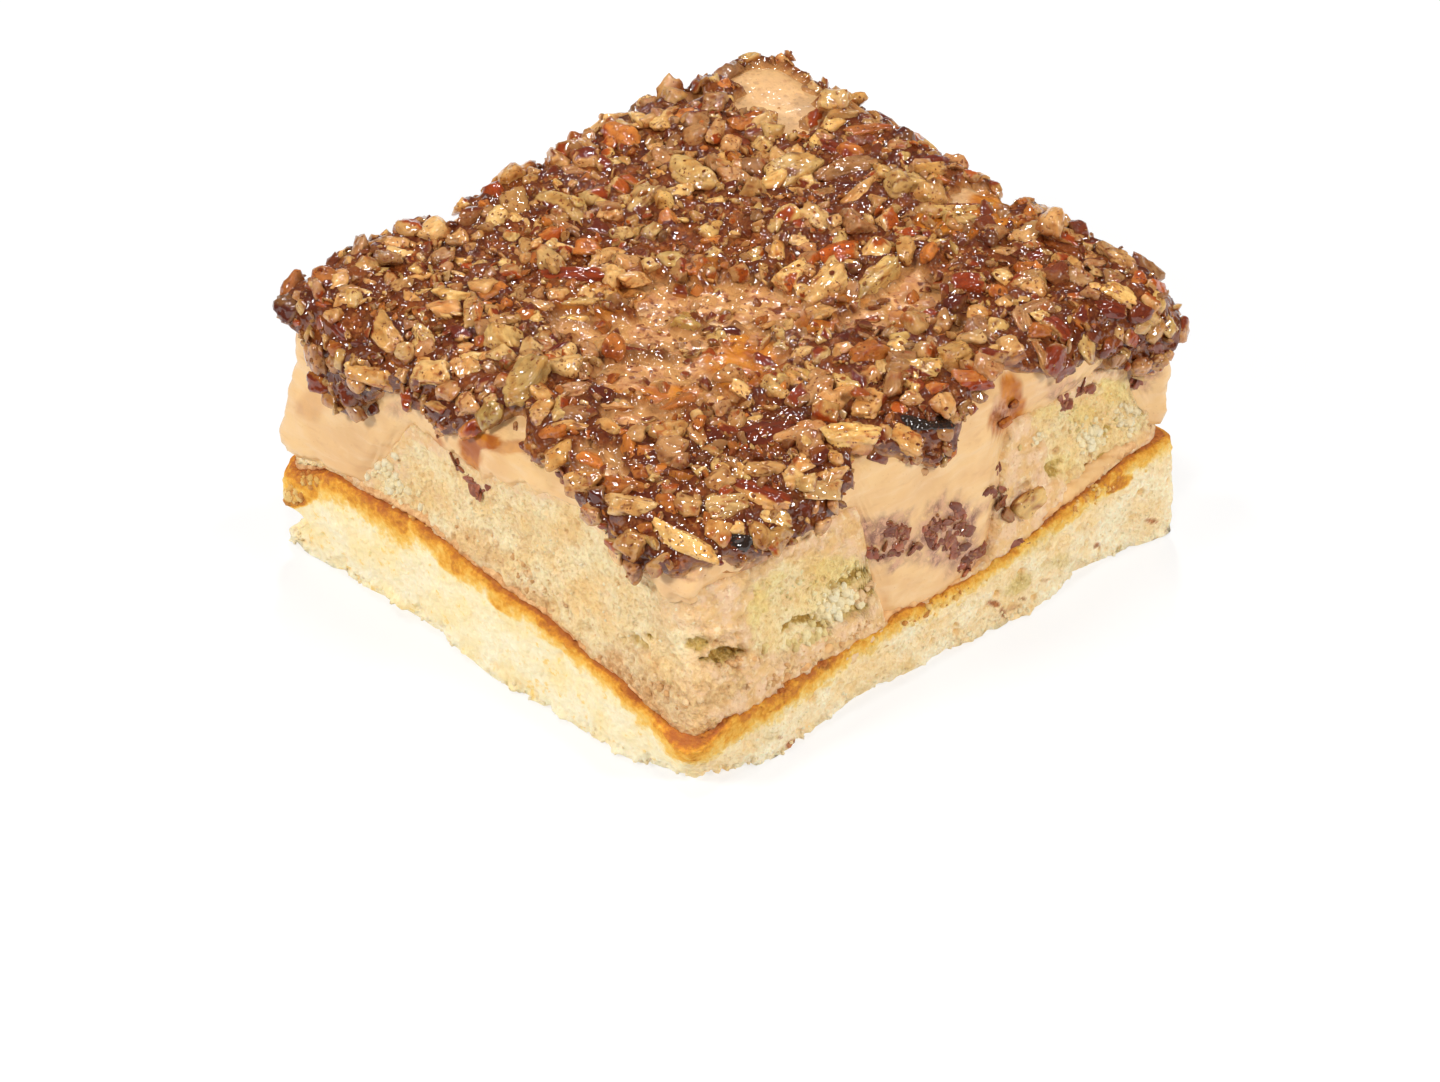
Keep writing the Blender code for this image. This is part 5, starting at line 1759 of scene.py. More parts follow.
# the larger pieces: the ends of each one's long axis and its width in the camera's pixels, its kind, and its flesh's tone.
# F is bare flesh, M is flesh with some skin, S has its skin up, D is dark skin, B is blackened
NUTS = (
    (604, 130, 638, 148, 26, "M", 3), (626, 116, 650, 124, 14, "F", 0), (652, 130, 680, 116, 20, "F", 0),
    (684, 142, 704, 130, 24, "F", 2), (708, 148, 726, 122, 22, "M", 1), (730, 130, 760, 114, 24, "M", 3),
    (728, 130, 752, 150, 15, "D", 1), (722, 152, 744, 162, 12, "F", 3), (668, 164, 716, 186, 32, "F", 0),
    (724, 170, 746, 190, 26, "F", 2), (712, 187, 736, 192, 12, "D", 1), (698, 204, 726, 204, 14, "F", 0),
    (764, 184, 820, 160, 34, "F", 0), (766, 158, 804, 146, 13, "D", 1), (802, 126, 828, 118, 22, "S", 1),
    (815, 144, 844, 152, 22, "S", 1), (806, 188, 818, 170, 12, "S", 1), (758, 194, 778, 202, 14, "S", 1),
    (776, 202, 802, 220, 20, "S", 1), (800, 208, 834, 234, 30, "F", 0), (784, 192, 800, 200, 12, "F", 1),
    (816, 180, 894, 158, 22, "F", 2), (838, 206, 884, 180, 18, "F", 1), (812, 198, 834, 190, 14, "F", 2),
    (846, 136, 898, 128, 16, "M", 3), (838, 104, 876, 122, 16, "F", 1), (887, 188, 925, 184, 34, "F", 0),
    (924, 188, 942, 186, 20, "F", 2), (932, 216, 988, 210, 20, "M", 0), (842, 230, 882, 226, 32, "F", 2),
    (882, 214, 900, 222, 18, "S", 3), (903, 214, 920, 216, 14, "F", 2), (906, 166, 948, 160, 20, "S", 3),
    (944, 152, 965, 156, 14, "F", 0), (898, 240, 926, 242, 12, "F", 1), (918, 244, 955, 242, 13, "F", 0),
    (614, 222, 660, 190, 27, "M", 0), (654, 228, 682, 218, 24, "M", 3), (624, 178, 646, 186, 17, "S", 1),
    (604, 168, 634, 160, 15, "F", 0), (562, 176, 592, 170, 20, "F", 2), (540, 198, 590, 216, 30, "M", 0),
    (548, 220, 594, 242, 17, "F", 2), (544, 248, 578, 254, 22, "M", 0), (514, 258, 542, 246, 25, "M", 1),
    (590, 228, 616, 232, 20, "D", 1), (476, 270, 490, 262, 13, "F", 0), (501, 272, 522, 276, 17, "M", 1),
    (461, 264, 474, 270, 16, "S", 1), (449, 246, 467, 240, 22, "F", 1), (382, 256, 412, 262, 22, "F", 0),
    (369, 272, 392, 275, 13, "F", 0), (371, 247, 390, 240, 15, "F", 2), (411, 222, 426, 218, 17, "S", 1),
    (477, 216, 496, 214, 20, "F", 2), (454, 216, 472, 222, 18, "F", 2), (544, 140, 570, 142, 14, "F", 1),
    (532, 234, 546, 214, 11, "F", 1), (533, 274, 607, 277, 25, "S", 1), (586, 268, 636, 248, 22, "F", 1),
    (619, 284, 650, 276, 22, "F", 1), (656, 262, 682, 262, 24, "F", 0), (633, 250, 654, 262, 16, "S", 1),
    (781, 246, 787, 230, 9, "S", 1), (789, 243, 808, 243, 16, "F", 0), (704, 240, 724, 244, 14, "F", 3),
    (780, 282, 811, 268, 26, "M", 0), (815, 262, 862, 250, 33, "S", 2), (808, 300, 850, 270, 32, "F", 0),
    (808, 322, 840, 306, 22, "F", 1), (848, 297, 898, 268, 24, "F", 0), (856, 300, 872, 294, 13, "S", 1),
    (676, 320, 700, 326, 20, "F", 4), (723, 330, 744, 336, 16, "D", 1), (606, 350, 674, 358, 16, "S", 1),
    (770, 344, 795, 350, 16, "F", 0), (753, 360, 777, 370, 14, "S", 2), (780, 378, 802, 386, 22, "F", 1),
    (800, 404, 828, 384, 26, "F", 2), (824, 410, 852, 386, 28, "F", 1), (857, 420, 882, 394, 26, "M", 1),
    (888, 414, 906, 404, 17, "S", 1), (900, 398, 922, 402, 18, "F", 1), (826, 440, 876, 434, 29, "M", 0),
    (778, 438, 824, 436, 27, "F", 2), (738, 440, 794, 426, 32, "D", 1), (762, 416, 810, 418, 13, "D", 1),
    (716, 432, 740, 438, 16, "S", 3), (704, 444, 724, 458, 18, "F", 1), (653, 440, 688, 436, 28, "F", 1),
    (688, 426, 706, 446, 20, "F", 2), (622, 436, 645, 438, 22, "F", 1), (650, 414, 692, 402, 18, "M", 3),
    (722, 464, 745, 466, 17, "F", 2), (744, 470, 782, 469, 22, "M", 1), (768, 456, 786, 464, 13, "S", 1),
    (793, 472, 815, 456, 19, "M", 1), (818, 482, 846, 474, 18, "F", 1), (730, 481, 784, 504, 25, "S", 1),
    (800, 486, 838, 491, 22, "F", 0), (820, 520, 860, 500, 33, "F", 1), (708, 512, 748, 504, 22, "F", 0),
    (756, 512, 788, 521, 15, "F", 0), (734, 522, 746, 534, 12, "S", 1), (706, 528, 730, 538, 26, "M", 1),
    (765, 546, 792, 528, 26, "M", 1), (654, 528, 714, 558, 22, "F", 0), (677, 506, 700, 508, 24, "F", 1),
    (657, 496, 680, 482, 19, "S", 2), (610, 502, 658, 506, 24, "F", 0), (569, 486, 602, 484, 22, "F", 1),
    (606, 486, 644, 490, 19, "F", 3), (628, 458, 642, 476, 14, "D", 1), (578, 454, 604, 464, 19, "M", 3),
    (736, 563, 748, 556, 11, "F", 1), (903, 370, 938, 373, 23, "M", 0), (850, 368, 880, 348, 30, "M", 3),
    (884, 388, 878, 342, 17, "F", 0), (904, 334, 925, 342, 15, "D", 1), (926, 342, 950, 336, 11, "M", 3),
    (936, 360, 972, 346, 27, "F", 1), (952, 382, 992, 378, 21, "M", 3), (1012, 302, 1034, 346, 18, "F", 2),
    (1030, 332, 1046, 368, 13, "F", 2), (1044, 318, 1068, 338, 24, "S", 1), (1068, 322, 1092, 312, 19, "S", 3),
    (1118, 332, 1142, 340, 20, "S", 1), (1130, 330, 1150, 322, 17, "F", 0), (1148, 342, 1162, 358, 17, "D", 1),
    (1106, 362, 1130, 357, 17, "F", 2), (1060, 356, 1080, 352, 11, "S", 1), (956, 434, 978, 430, 11, "S", 1),
    (944, 450, 965, 456, 18, "D", 1), (956, 414, 972, 404, 14, "F", 2), (901, 421, 950, 426, 14, "B", 1),
    (908, 410, 936, 412, 11, "D", 1), (888, 434, 918, 446, 24, "F", 1), (872, 444, 888, 424, 18, "M", 1),
    (868, 454, 888, 460, 10, "D", 1), (1014, 244, 1050, 228, 22, "F", 1), (1028, 216, 1044, 206, 15, "F", 1),
    (1050, 234, 1086, 242, 22, "M", 1), (1054, 216, 1080, 226, 16, "F", 3), (1010, 292, 1052, 268, 24, "M", 1),
    (1024, 260, 1044, 254, 15, "S", 1), (990, 224, 1012, 226, 12, "D", 1), (1084, 264, 1104, 264, 15, "F", 2),
    (1102, 246, 1134, 272, 24, "F", 1), (1134, 260, 1155, 262, 18, "F", 1), (1156, 266, 1174, 262, 13, "D", 1),
    (1138, 278, 1172, 276, 20, "F", 1), (1144, 286, 1168, 296, 17, "S", 1), (1164, 306, 1181, 308, 25, "S", 1),
    (1104, 284, 1134, 302, 22, "M", 0), (1092, 304, 1124, 312, 18, "S", 2), (1010, 312, 1052, 306, 22, "F", 2),
    (308, 276, 326, 272, 16, "B", 1), (328, 276, 350, 274, 17, "F", 1), (350, 288, 372, 300, 15, "F", 0),
    (369, 275, 390, 279, 12, "F", 0), (366, 310, 402, 352, 25, "M", 1), (354, 342, 382, 346, 12, "D", 1),
    (396, 298, 440, 292, 13, "F", 0), (438, 290, 466, 303, 24, "M", 0), (475, 298, 470, 334, 18, "F", 1),
    (440, 318, 468, 344, 21, "S", 1), (412, 326, 434, 346, 18, "M", 0), (486, 342, 522, 342, 30, "F", 0),
    (352, 370, 394, 388, 25, "F", 1), (416, 370, 450, 376, 25, "F", 0), (450, 366, 468, 372, 18, "F", 1),
    (384, 398, 400, 432, 17, "F", 0), (400, 418, 430, 434, 24, "F", 1), (450, 412, 478, 400, 26, "F", 1),
    (426, 402, 450, 412, 15, "M", 1), (508, 404, 538, 364, 34, "F", 4), (480, 420, 503, 410, 22, "F", 4),
    (458, 434, 482, 424, 15, "M", 3), (504, 424, 522, 442, 19, "F", 2), (530, 414, 554, 404, 20, "F", 1),
    (552, 372, 580, 364, 27, "M", 0), (537, 362, 556, 358, 20, "S", 2), (475, 388, 498, 376, 16, "S", 2),
    (345, 398, 364, 420, 17, "F", 2), (366, 414, 382, 404, 12, "D", 1), (330, 366, 344, 396, 11, "S", 2),
    (306, 296, 340, 312, 14, "S", 2), (326, 318, 350, 340, 14, "S", 1), (560, 300, 600, 306, 16, "F", 0),
    (560, 318, 590, 322, 13, "F", 0), (520, 302, 550, 310, 15, "F", 1), (588, 296, 616, 290, 15, "F", 1),
    (555, 430, 590, 424, 16, "F", 1), (596, 408, 630, 404, 13, "F", 1), (510, 250, 530, 262, 15, "F", 2),
    (414, 250, 440, 246, 15, "S", 1), (425, 268, 445, 272, 14, "S", 1), (405, 280, 430, 276, 12, "F", 1),
    (960, 262, 985, 266, 14, "S", 2), (968, 286, 990, 292, 15, "S", 1), (935, 282, 958, 288, 13, "S", 2),
    (990, 248, 1012, 256, 15, "F", 2), (1060, 270, 1090, 284, 18, "F", 2), (1062, 300, 1088, 296, 16, "S", 1),
    (1076, 330, 1100, 340, 14, "D", 1), (980, 330, 1002, 348, 16, "F", 2), (960, 392, 984, 398, 12, "F", 2),
    (560, 395, 600, 388, 18, "F", 2), (500, 455, 520, 450, 9, "S", 3), (648, 470, 664, 484, 13, "F", 1),
    (692, 470, 716, 476, 14, "F", 1), (790, 506, 812, 512, 14, "D", 1), (806, 526, 824, 534, 11, "D", 1),
    (690, 545, 720, 560, 12, "S", 2), (728, 540, 752, 546, 16, "B", 1), (640, 540, 656, 556, 10, "S", 2),
    (858, 476, 866, 492, 7, "S", 2), (840, 472, 856, 486, 8, "S", 2),
)

# pieces stuck on the cream of the sides
STRAYS = (
    (467, 482, 482, 494, 11, "S", 3), (456, 458, 460, 472, 5, "S", 3), (560, 482, 572, 462, 11, "S", 1),
    (576, 476, 592, 484, 18, "F", 0), (270, 336, 275, 352, 10, "S", 1), (281, 322, 287, 326, 8, "S", 1),
    (286, 310, 292, 314, 6, "S", 1), (266, 356, 274, 366, 8, "S", 2), (888, 524, 900, 534, 12, "D", 1),
    (898, 540, 908, 528, 9, "D", 1), (886, 552, 900, 548, 9, "S", 2), (912, 546, 918, 548, 5, "D", 1),
    (926, 530, 942, 548, 11, "S", 1), (934, 518, 944, 530, 13, "D", 1), (946, 536, 960, 552, 15, "D", 1),
    (956, 514, 968, 534, 12, "D", 2), (950, 506, 958, 512, 6, "S", 2), (866, 550, 884, 556, 8, "S", 3),
    (994, 492, 1002, 504, 10, "D", 1), (1000, 506, 1012, 522, 10, "F", 2), (1012, 512, 1034, 488, 24, "F", 0),
    (965, 560, 985, 550, 9, "S", 1), (996, 466, 1000, 472, 7, "S", 2), (988, 488, 992, 492, 4, "S", 2),
    (996, 424, 1008, 418, 12, "M", 3), (1008, 400, 1016, 408, 10, "M", 3), (958, 572, 970, 566, 9, "S", 3),
    (1060, 404, 1074, 400, 8, "D", 1), (1080, 396, 1092, 388, 8, "S", 2), (1130, 386, 1140, 378, 7, "S", 2),
    (1010, 548, 1030, 540, 8, "S", 3),
)

rng = np.random.default_rng(411)
chunks, skins, pieces, bits, crumbs, strays = Heap(), Heap(), Heap(), Heap(), Heap(), Heap()
taken, taken_size = [], []
ground_tree = tree_of((paste_points, paste_faces))
smooth_tree = tree_of((paste_base, paste_faces))
LIMIT_Z = 46.2
LIMIT_HIGH = np.array([cad_box[1][0] / MM + 0.9, cad_box[1][1] / MM + 0.9, LIMIT_Z]) - SHIFT
LIMIT_LOW = np.array([cad_box[0][0] / MM - 0.9, cad_box[0][1] / MM - 0.9, 0.0]) - SHIFT


def smooth_normal(point):
    _, normal, index, _ = smooth_tree.find_nearest(Vector(point.tolist()))
    a, b, c = paste_faces[index]
    n = paste_out[a] + paste_out[b] + paste_out[c]
    return n / np.linalg.norm(n)


def put(heap, level, kind, tone, centre, along, up, size, lean=0.2):
    points, faces, colours = nut(rng, level, kind, tone)
    turn = basis(along, up) @ tilt(rng, lean)
    points = (points * size) @ turn.T + centre
    points -= np.maximum(points.max(0) - LIMIT_HIGH, 0) + np.minimum(points.min(0) - LIMIT_LOW, 0)
    if heap is bits or heap is crumbs:
        # fine pieces are soaked through
        colours = colours * 0.76 + 0.08 * np.array(rgb(150, 82, 42))[None]
    elif heap is strays and kind in "SD":
        # flakes half sunk in the cream
        colours = colours * 0.35 + 0.65 * np.array(rgb(142, 84, 66))[None] * rng.uniform(0.5, 1.5)
    heap.add(points, faces, colours)


def put_seen(heap, tree, row, sink, level=None):
    x0, y0, x1, y1, width, kind, tone = row
    eye = EYE - SHIFT
    middle = sight((x0 + x1) / 2, (y0 + y1) / 2)
    hit, _, index, _ = tree.ray_cast(Vector(eye.tolist()), Vector(middle.tolist()))
    if hit is None:
        return
    hit = np.array(hit)
    up = smooth_normal(hit)
    if up @ BACK < 0.12:
        up = up + BACK * 0.3
        up /= np.linalg.norm(up)
    # the long axis, laid into the surface
    across = (x1 - x0) * RIGHT - (y1 - y0) * UP
    across /= np.linalg.norm(across)
    lie = across - middle * ((across @ up) / (middle @ up))
    lie /= np.linalg.norm(lie)
    per_mm = FOCAL / DISTANCE
    depth_share = abs(lie @ (BACK - up * (BACK @ up)) / max(np.linalg.norm(BACK - up * (BACK @ up)), 1e-6))
    long = math.hypot(x1 - x0, y1 - y0) / per_mm * (1 + 0.15 * depth_share)
    wide = width / per_mm
    high = min(0.72 * wide, 3.6) * (0.8 if kind in "SD" else 1.0)
    size = np.array([long, wide, high]) / 2 * 1.15
    raised = high * (0.5 - sink)
    centre = hit - middle * (raised / max(-(middle @ up), 0.25))
    if level is None:
        level = 3 if long > 4.2 else 2
    if heap is None:
        heap = skins if kind in "SDB" else chunks
    put(heap, level, kind, tone, centre, lie, up, size, 0.13)
    taken.append(centre)
    taken_size.append(math.sqrt(long * wide) / 2)


for row in NUTS:
    put_seen(None, ground_tree, row, 0.27)

# how likely a piece lies at each face of the carrying surface
corner_a, corner_b, corner_c = (paste_base[paste_faces[:, k]] for k in range(3))
area = np.linalg.norm(np.cross(corner_b - corner_a, corner_c - corner_a), axis=1) / 2
cover = paste_cover[paste_faces].mean(1)
left = paste_left[paste_faces].mean(1)
face_out = paste_out[paste_faces].mean(1)
unseen = 1 - smooth((face_out @ BACK + 0.1) / 0.2)
middle_of_face = (corner_a + corner_b + corner_c) / 3


def scattered(count, weights):
    """Points spread over the carrying surface by weight: (points, normals)."""
    share = np.cumsum(weights * area)
    index = np.searchsorted(share, rng.random(count) * share[-1])
    u, v = rng.random(count), rng.random(count)
    flip = u + v > 1
    u[flip], v[flip] = 1 - u[flip], 1 - v[flip]
    at = corner_a[index] + (corner_b - corner_a)[index] * u[:, None] + (corner_c - corner_a)[index] * v[:, None]
    n = face_out[index]
    return at, n / np.linalg.norm(n, axis=1, keepdims=True)


def free_of(point, size, share):
    if not taken:
        return True
    d = np.linalg.norm(np.array(taken) - point, axis=1)
    return bool(np.all(d > share * (np.array(taken_size) + size)))


def lay(heap, level, count, sizes, kinds, weights, tree, share, sink, lean, tries=6, top=2.6, on_nuts=1.0):
    """Lays count pieces on what is there already, apart from each other."""
    placed = 0
    at, ups = scattered(count * tries, weights)
    for point, up in zip(at, ups):
        if placed >= count:
            break
        long = rng.uniform(*sizes)
        wide = long * rng.uniform(0.6, 0.95)
        half = math.sqrt(long * wide) / 2
        if share > 0 and not free_of(point, half, share):
            continue
        start = point + up * 9
        hit, _, index, distance = tree.ray_cast(Vector(start.tolist()), Vector((-up).tolist()), 12.0)
        if hit is None:
            continue
        if index >= len(paste_faces) and rng.random() > on_nuts:
            continue
        height = 9 - distance
        if height > top and rng.random() < 0.8:
            continue
        kind = kinds[int(rng.integers(len(kinds)))]
        tone = int(rng.choice([0, 0, 1, 1, 1, 2, 2, 3]))
        high = wide * (rng.uniform(0.6, 0.95) if level > 1 else rng.uniform(0.35, 0.75))
        centre = np.array(hit) + up * high * (0.5 - sink)
        if centre[2] + high / 2 > LIMIT_Z:
            continue
        way = rng.normal(size=3)
        into = heap if heap is not None else (skins if kind in "SDB" else chunks)
        put(into, level, kind, tone, centre, way, up, np.array([long, wide, high]) / 2, lean)
        if share > 0:
            taken.append(centre)
            taken_size.append(half)
        placed += 1
    return placed


# zones of fine paste with few larger pieces
PASTE_PLACES = (
    (720, 245, 80, 34, 1.0),
    (760, 225, 50, 20, 0.8),
    (955, 272, 50, 24, 0.8),
    (470, 240, 30, 16, 0.7),
    (510, 205, 44, 14, 0.8),
    (630, 320, 50, 20, 0.5),
    (700, 350, 60, 50, 0.8),
    (640, 385, 60, 22, 0.8),
    (735, 300, 60, 34, 0.9),
    (905, 300, 50, 30, 0.9),
    (575, 345, 40, 24, 0.5),
    (450, 350, 30, 16, 0.3),
)
fine_zone = seen(middle_of_face, PASTE_PLACES, 0.0) * (1 - unseen)
fine_zone *= 1 - 0.6 * seen(middle_of_face, ((700, 490, 150, 80, 1.0), (400, 330, 90, 80, 1.0)), 0.0)
fine_zone = np.maximum(fine_zone, unseen * smooth((waves(middle_of_face, 11.0, 111) - 0.25) / 0.25))
clear = cover * smooth((left - 0.8) / 1.5)
bare_zone = seen(middle_of_face, CREAM_PLACES, 0.0) * (1 - unseen)
counts = {}
counts["large"] = lay(None, 2, 46, (3.4, 6.0), "FFFMMSSF", clear * unseen, ground_tree, 0.85, 0.42, 0.22)
tree = tree_of((paste_points, paste_faces), chunks.all()[:2], skins.all()[:2])
counts["medium"] = lay(
    pieces, 2, 560, (2.0, 4.7), "FFFFFMMSD", clear * (1.0 - 0.78 * fine_zone) * (1.0 - 0.92 * bare_zone), tree, 0.68, 0.26, 0.35, tries=16, on_nuts=0.3
)


def climbed(points, out, tree, reach, rise):
    """How high the syrup climbs beside the pieces that stand in it, from 0 to rise."""
    lift = np.zeros(len(points))
    for i, p in enumerate(points):
        _, _, _, distance = tree.find_nearest(Vector(p.tolist()), reach)
        if distance is not None:
            lift[i] = rise * (1 - distance / reach) ** 1.5
    return lift


lifted = climbed(paste_points, paste_out, tree_of(chunks.all()[:2], skins.all()[:2], pieces.all()[:2]), 1.4, 0.85)
lifted *= smooth((paste_left - 0.8) / 1.0)
paste_points = paste_points + paste_out * lifted[:, None]
# the ring mark: darker syrup and painted shade where the paste climbs beside the pieces
paste_marks["ring"] = np.clip((lifted - 0.08) / 0.6, 0, 1)
paste_marks["creamy"] = paste_marks["creamy"] * (1 - 0.5 * paste_marks["ring"])
build("pecan_paste", paste_points, paste_faces, "pecan_topping", PASTE_MAT, paste_marks)
tree = tree_of((paste_points, paste_faces), chunks.all()[:2], skins.all()[:2], pieces.all()[:2])
counts["small"] = lay(
    bits, 1, 760, (0.9, 2.2), "FFFMMSSD", (clear + 0.06) * (1.0 - 0.6 * bare_zone), tree, 0.0, 0.34, 0.7, tries=10, top=2.2, on_nuts=0.10
)
creamy_zone = seen(middle_of_face, FLECK_PLACES, 0.0) * (1 - unseen)
counts["film"] = lay(
    bits, 1, 100, (0.9, 2.5), "FFSSSD", creamy_zone, tree, 0.0, 0.30, 0.5, tries=10, top=2.2, on_nuts=0.10
)
tree = tree_of((paste_points, paste_faces), chunks.all()[:2], skins.all()[:2], pieces.all()[:2], bits.all()[:2])
counts["crumbs"] = lay(
    crumbs, 0, 1500, (0.35, 0.9), "FFFSSSD", clear + 0.20, tree, 0.0, 0.3, 0.8, tries=8, top=4.5, on_nuts=0.35
)
print("pieces laid:", counts)

# strays on the sides lie on the icing, the sponge and the cream


def parts_of(piece):
    mesh = piece.data
    points = np.empty(len(mesh.vertices) * 3, np.float32)
    mesh.vertices.foreach_get("co", points)
    points = points.reshape(-1, 3).astype(float) / MM - SHIFT
    faces = np.empty(len(mesh.polygons) * 3, np.int32)
    mesh.polygons.foreach_get("vertices", faces)
    return points, faces.reshape(-1, 3)


side_tree = tree_of(parts_of(icing_piece), parts_of(upper_piece), parts_of(filling_piece))
total = sum(len(piece.data.polygons) for piece in bpy.data.objects if piece.type == "MESH")
print("triangles of the layers:", total)


def put_stray(row):
    x0, y0, x1, y1, width, kind, tone = row
    per_mm = FOCAL / DISTANCE
    reach = math.hypot(x1 - x0, y1 - y0)
    whole = kind in "FM"
    for k in range(1 if whole else max(5, int(reach * width / 11))):
        share = 0.5 if whole else rng.uniform(0.0, 1.0)
        aside = 0.0 if whole else rng.normal(0, 0.35) * width
        px = x0 + (x1 - x0) * share - (y1 - y0) / max(reach, 1) * aside
        py = y0 + (y1 - y0) * share + (x1 - x0) / max(reach, 1) * aside
        middle = sight(px, py)
        hit, normal, index, _ = side_tree.ray_cast(Vector((EYE - SHIFT).tolist()), Vector(middle.tolist()))
        if hit is None:
            continue
        hit = np.array(hit)
        up = np.array([hit[0] / HX, 0, 0]) if abs(hit[0] / HX) > abs(hit[1] / HY) else np.array([0, hit[1] / HY, 0])
        up = up / np.linalg.norm(up)
        across = (x1 - x0) * RIGHT - (y1 - y0) * UP
        across /= np.linalg.norm(across)
        lie = across - middle * ((across @ up) / (middle @ up))
        lie /= np.linalg.norm(lie)
        if whole:
            long, wide = reach / per_mm * 1.15, width / per_mm * 1.1
            high = min(wide * 0.6, 1.8)
        else:
            lie = lie + rng.normal(0, 0.8, 3)
            long = 0.5 + 2.1 * rng.random() ** 2
            wide, high = long * rng.uniform(0.4, 0.8), rng.uniform(0.35, 0.6)
            kind = "S" if rng.random() < 0.65 else "D"
        centre = hit + up * high * (0.5 if whole else -0.12)
        put(strays, 2 if whole else 1, kind, tone, centre, lie, up, np.array([long, wide, high]) / 2 * 1.1, 0.3)


for row in STRAYS:
    put_stray(row)

# a few more on the hidden sides
for s0, z0 in ((196.0, 30.0), (203.0, 24.0), (209.0, 27.5), (214.0, 20.5), (248.0, 27.0), (286.0, 28.0), (290.0, 22.0), (297.0, 25.0), (303.0, 30.0), (328.0, 27.0)):
    for _ in range(2):
        s1, z1 = s0 + rng.normal(0, 1.2), z0 + rng.normal(0, 1.2)
        x, y = outline(np.array(s1), 0.9)
        up = np.array([0, 1.0, 0]) if s0 < 246 else np.array([-1.0, 0, 0])
        long = rng.uniform(1.2, 3.4)
        kind = "SDMF"[int(rng.integers(4))]
        put(strays, 2, kind, 1, np.array([float(x), float(y), z1]), rng.normal(size=3), up, np.array([long, long * 0.7, min(long * 0.5, 1.6)]) / 2, 0.2)

# ---------------------------------------------------------------------------------------------------------------------
# loose crumbs of sponge
# ---------------------------------------------------------------------------------------------------------------------


PALE = (rgb(250, 230, 186), rgb(247, 222, 172), rgb(252, 236, 198))
WHITE = (rgb(252, 238, 200), rgb(251, 233, 188), rgb(250, 228, 176))
TAN = (rgb(234, 190, 138), rgb(222, 172, 116), rgb(242, 206, 156))
YELLOWISH = (rgb(238, 214, 150), rgb(230, 202, 138), rgb(246, 228, 176))
GOLD = (rgb(236, 186, 102), rgb(244, 206, 132), rgb(214, 150, 80))
base_crumbs, upper_crumbs = Heap(), Heap()
base_tree, upper_tree = tree_of(parts_of(base_piece)), tree_of(parts_of(upper_piece))


def crumb(heap, centre, up, size, tints):
    """One loose crumb, size its half width in millimetres."""
    d, faces = BALLS[1 if size > 0.3 else 0]
    salt = rng.uniform(-50, 50, 3)
    r = 1 + 0.45 * waves(d + salt, 0.7, 21) + 0.25 * waves(d + salt, 0.35, 22)
    points = d * r[:, None] * size * rng.uniform(0.75, 1.2, 3)
    points = points @ turned(rng).T + centre
    points -= np.maximum(points.max(0) - LIMIT_HIGH, 0) + np.minimum(points.min(0) - LIMIT_LOW, 0)
    tint = np.array(tints[int(rng.integers(len(tints)))]) * rng.uniform(0.92, 1.04)
    colours = tint[None] * (1 + 0.12 * waves(d + salt, 0.5, 27))[:, None]
    heap.add(points, faces, np.clip(colours, 0.01, 1.0))


def crumbs_seen(heap, tree, count, place_of, sizes, tints, out=-0.25):
    """Crumbs where the camera sees a place: (x, y, half length, half width, angle)."""
    x, y, a, b, angle = place_of
    c, s = math.cos(math.radians(angle)), math.sin(math.radians(angle))
    for _ in range(count):
        u, v = rng.normal(0, 0.5, 2)
        u, v = u * a, v * b
        middle = sight(x + u * c - v * s, y + u * s + v * c)
        hit, normal, index, _ = tree.ray_cast(Vector((EYE - SHIFT).tolist()), Vector(middle.tolist()))
        if hit is None:
            continue
        normal = np.array(normal)
        if normal @ BACK < 0:
            normal = -normal
        size = rng.uniform(*sizes) * rng.uniform(0.6, 1.0)
        crumb(heap, np.array(hit) + normal * size * out, normal, size, tints)


for place_of, count, sizes, tints in (
    ((836, 604, 20, 15, -20), 44, (0.35, 0.95), WHITE),
    ((820, 596, 40, 22, -15), 34, (0.2, 0.5), YELLOWISH),
    ((800, 640, 40, 9, -20), 34, (0.3, 0.8), YELLOWISH),
    ((790, 590, 30, 20, -20), 16, (0.2, 0.45), YELLOWISH),
    ((855, 570, 20, 10, -20), 16, (0.2, 0.5), YELLOWISH),
    ((860, 594, 14, 12, -20), 18, (0.3, 0.7), TAN),
    ((740, 660, 30, 8, -15), 22, (0.2, 0.6), TAN),
    ((790, 672, 60, 10, -28), 46, (0.2, 0.6), TAN),
    ((860, 632, 40, 8, -28), 26, (0.2, 0.5), TAN),
    ((1090, 434, 16, 15, -40), 40, (0.3, 0.85), WHITE),
    ((1036, 438, 8, 8, 0), 16, (0.3, 0.7), PALE),
    ((1126, 416, 15, 13, -30), 36, (0.3, 0.75), PALE),
    ((1085, 425, 50, 30, -35), 36, (0.2, 0.5), YELLOWISH),
    ((1100, 470, 46, 10, -38), 36, (0.2, 0.6), TAN),
    ((388, 474, 36, 13, 35), 70, (0.25, 0.85), WHITE),
    ((470, 510, 60, 16, 33), 24, (0.15, 0.4), PALE),
    ((560, 560, 80, 34, 38), 34, (0.15, 0.4), PALE),
    ((640, 620, 40, 44, 38), 24, (0.15, 0.4), PALE),
    ((520, 572, 70, 12, 38), 50, (0.2, 0.5), TAN),
    ((650, 684, 50, 14, 34), 50, (0.2, 0.6), TAN),
    ((1150, 420, 12, 20, 0), 20, (0.2, 0.5), TAN),
):
    crumbs_seen(upper_crumbs, upper_tree, count, place_of, sizes, tints)
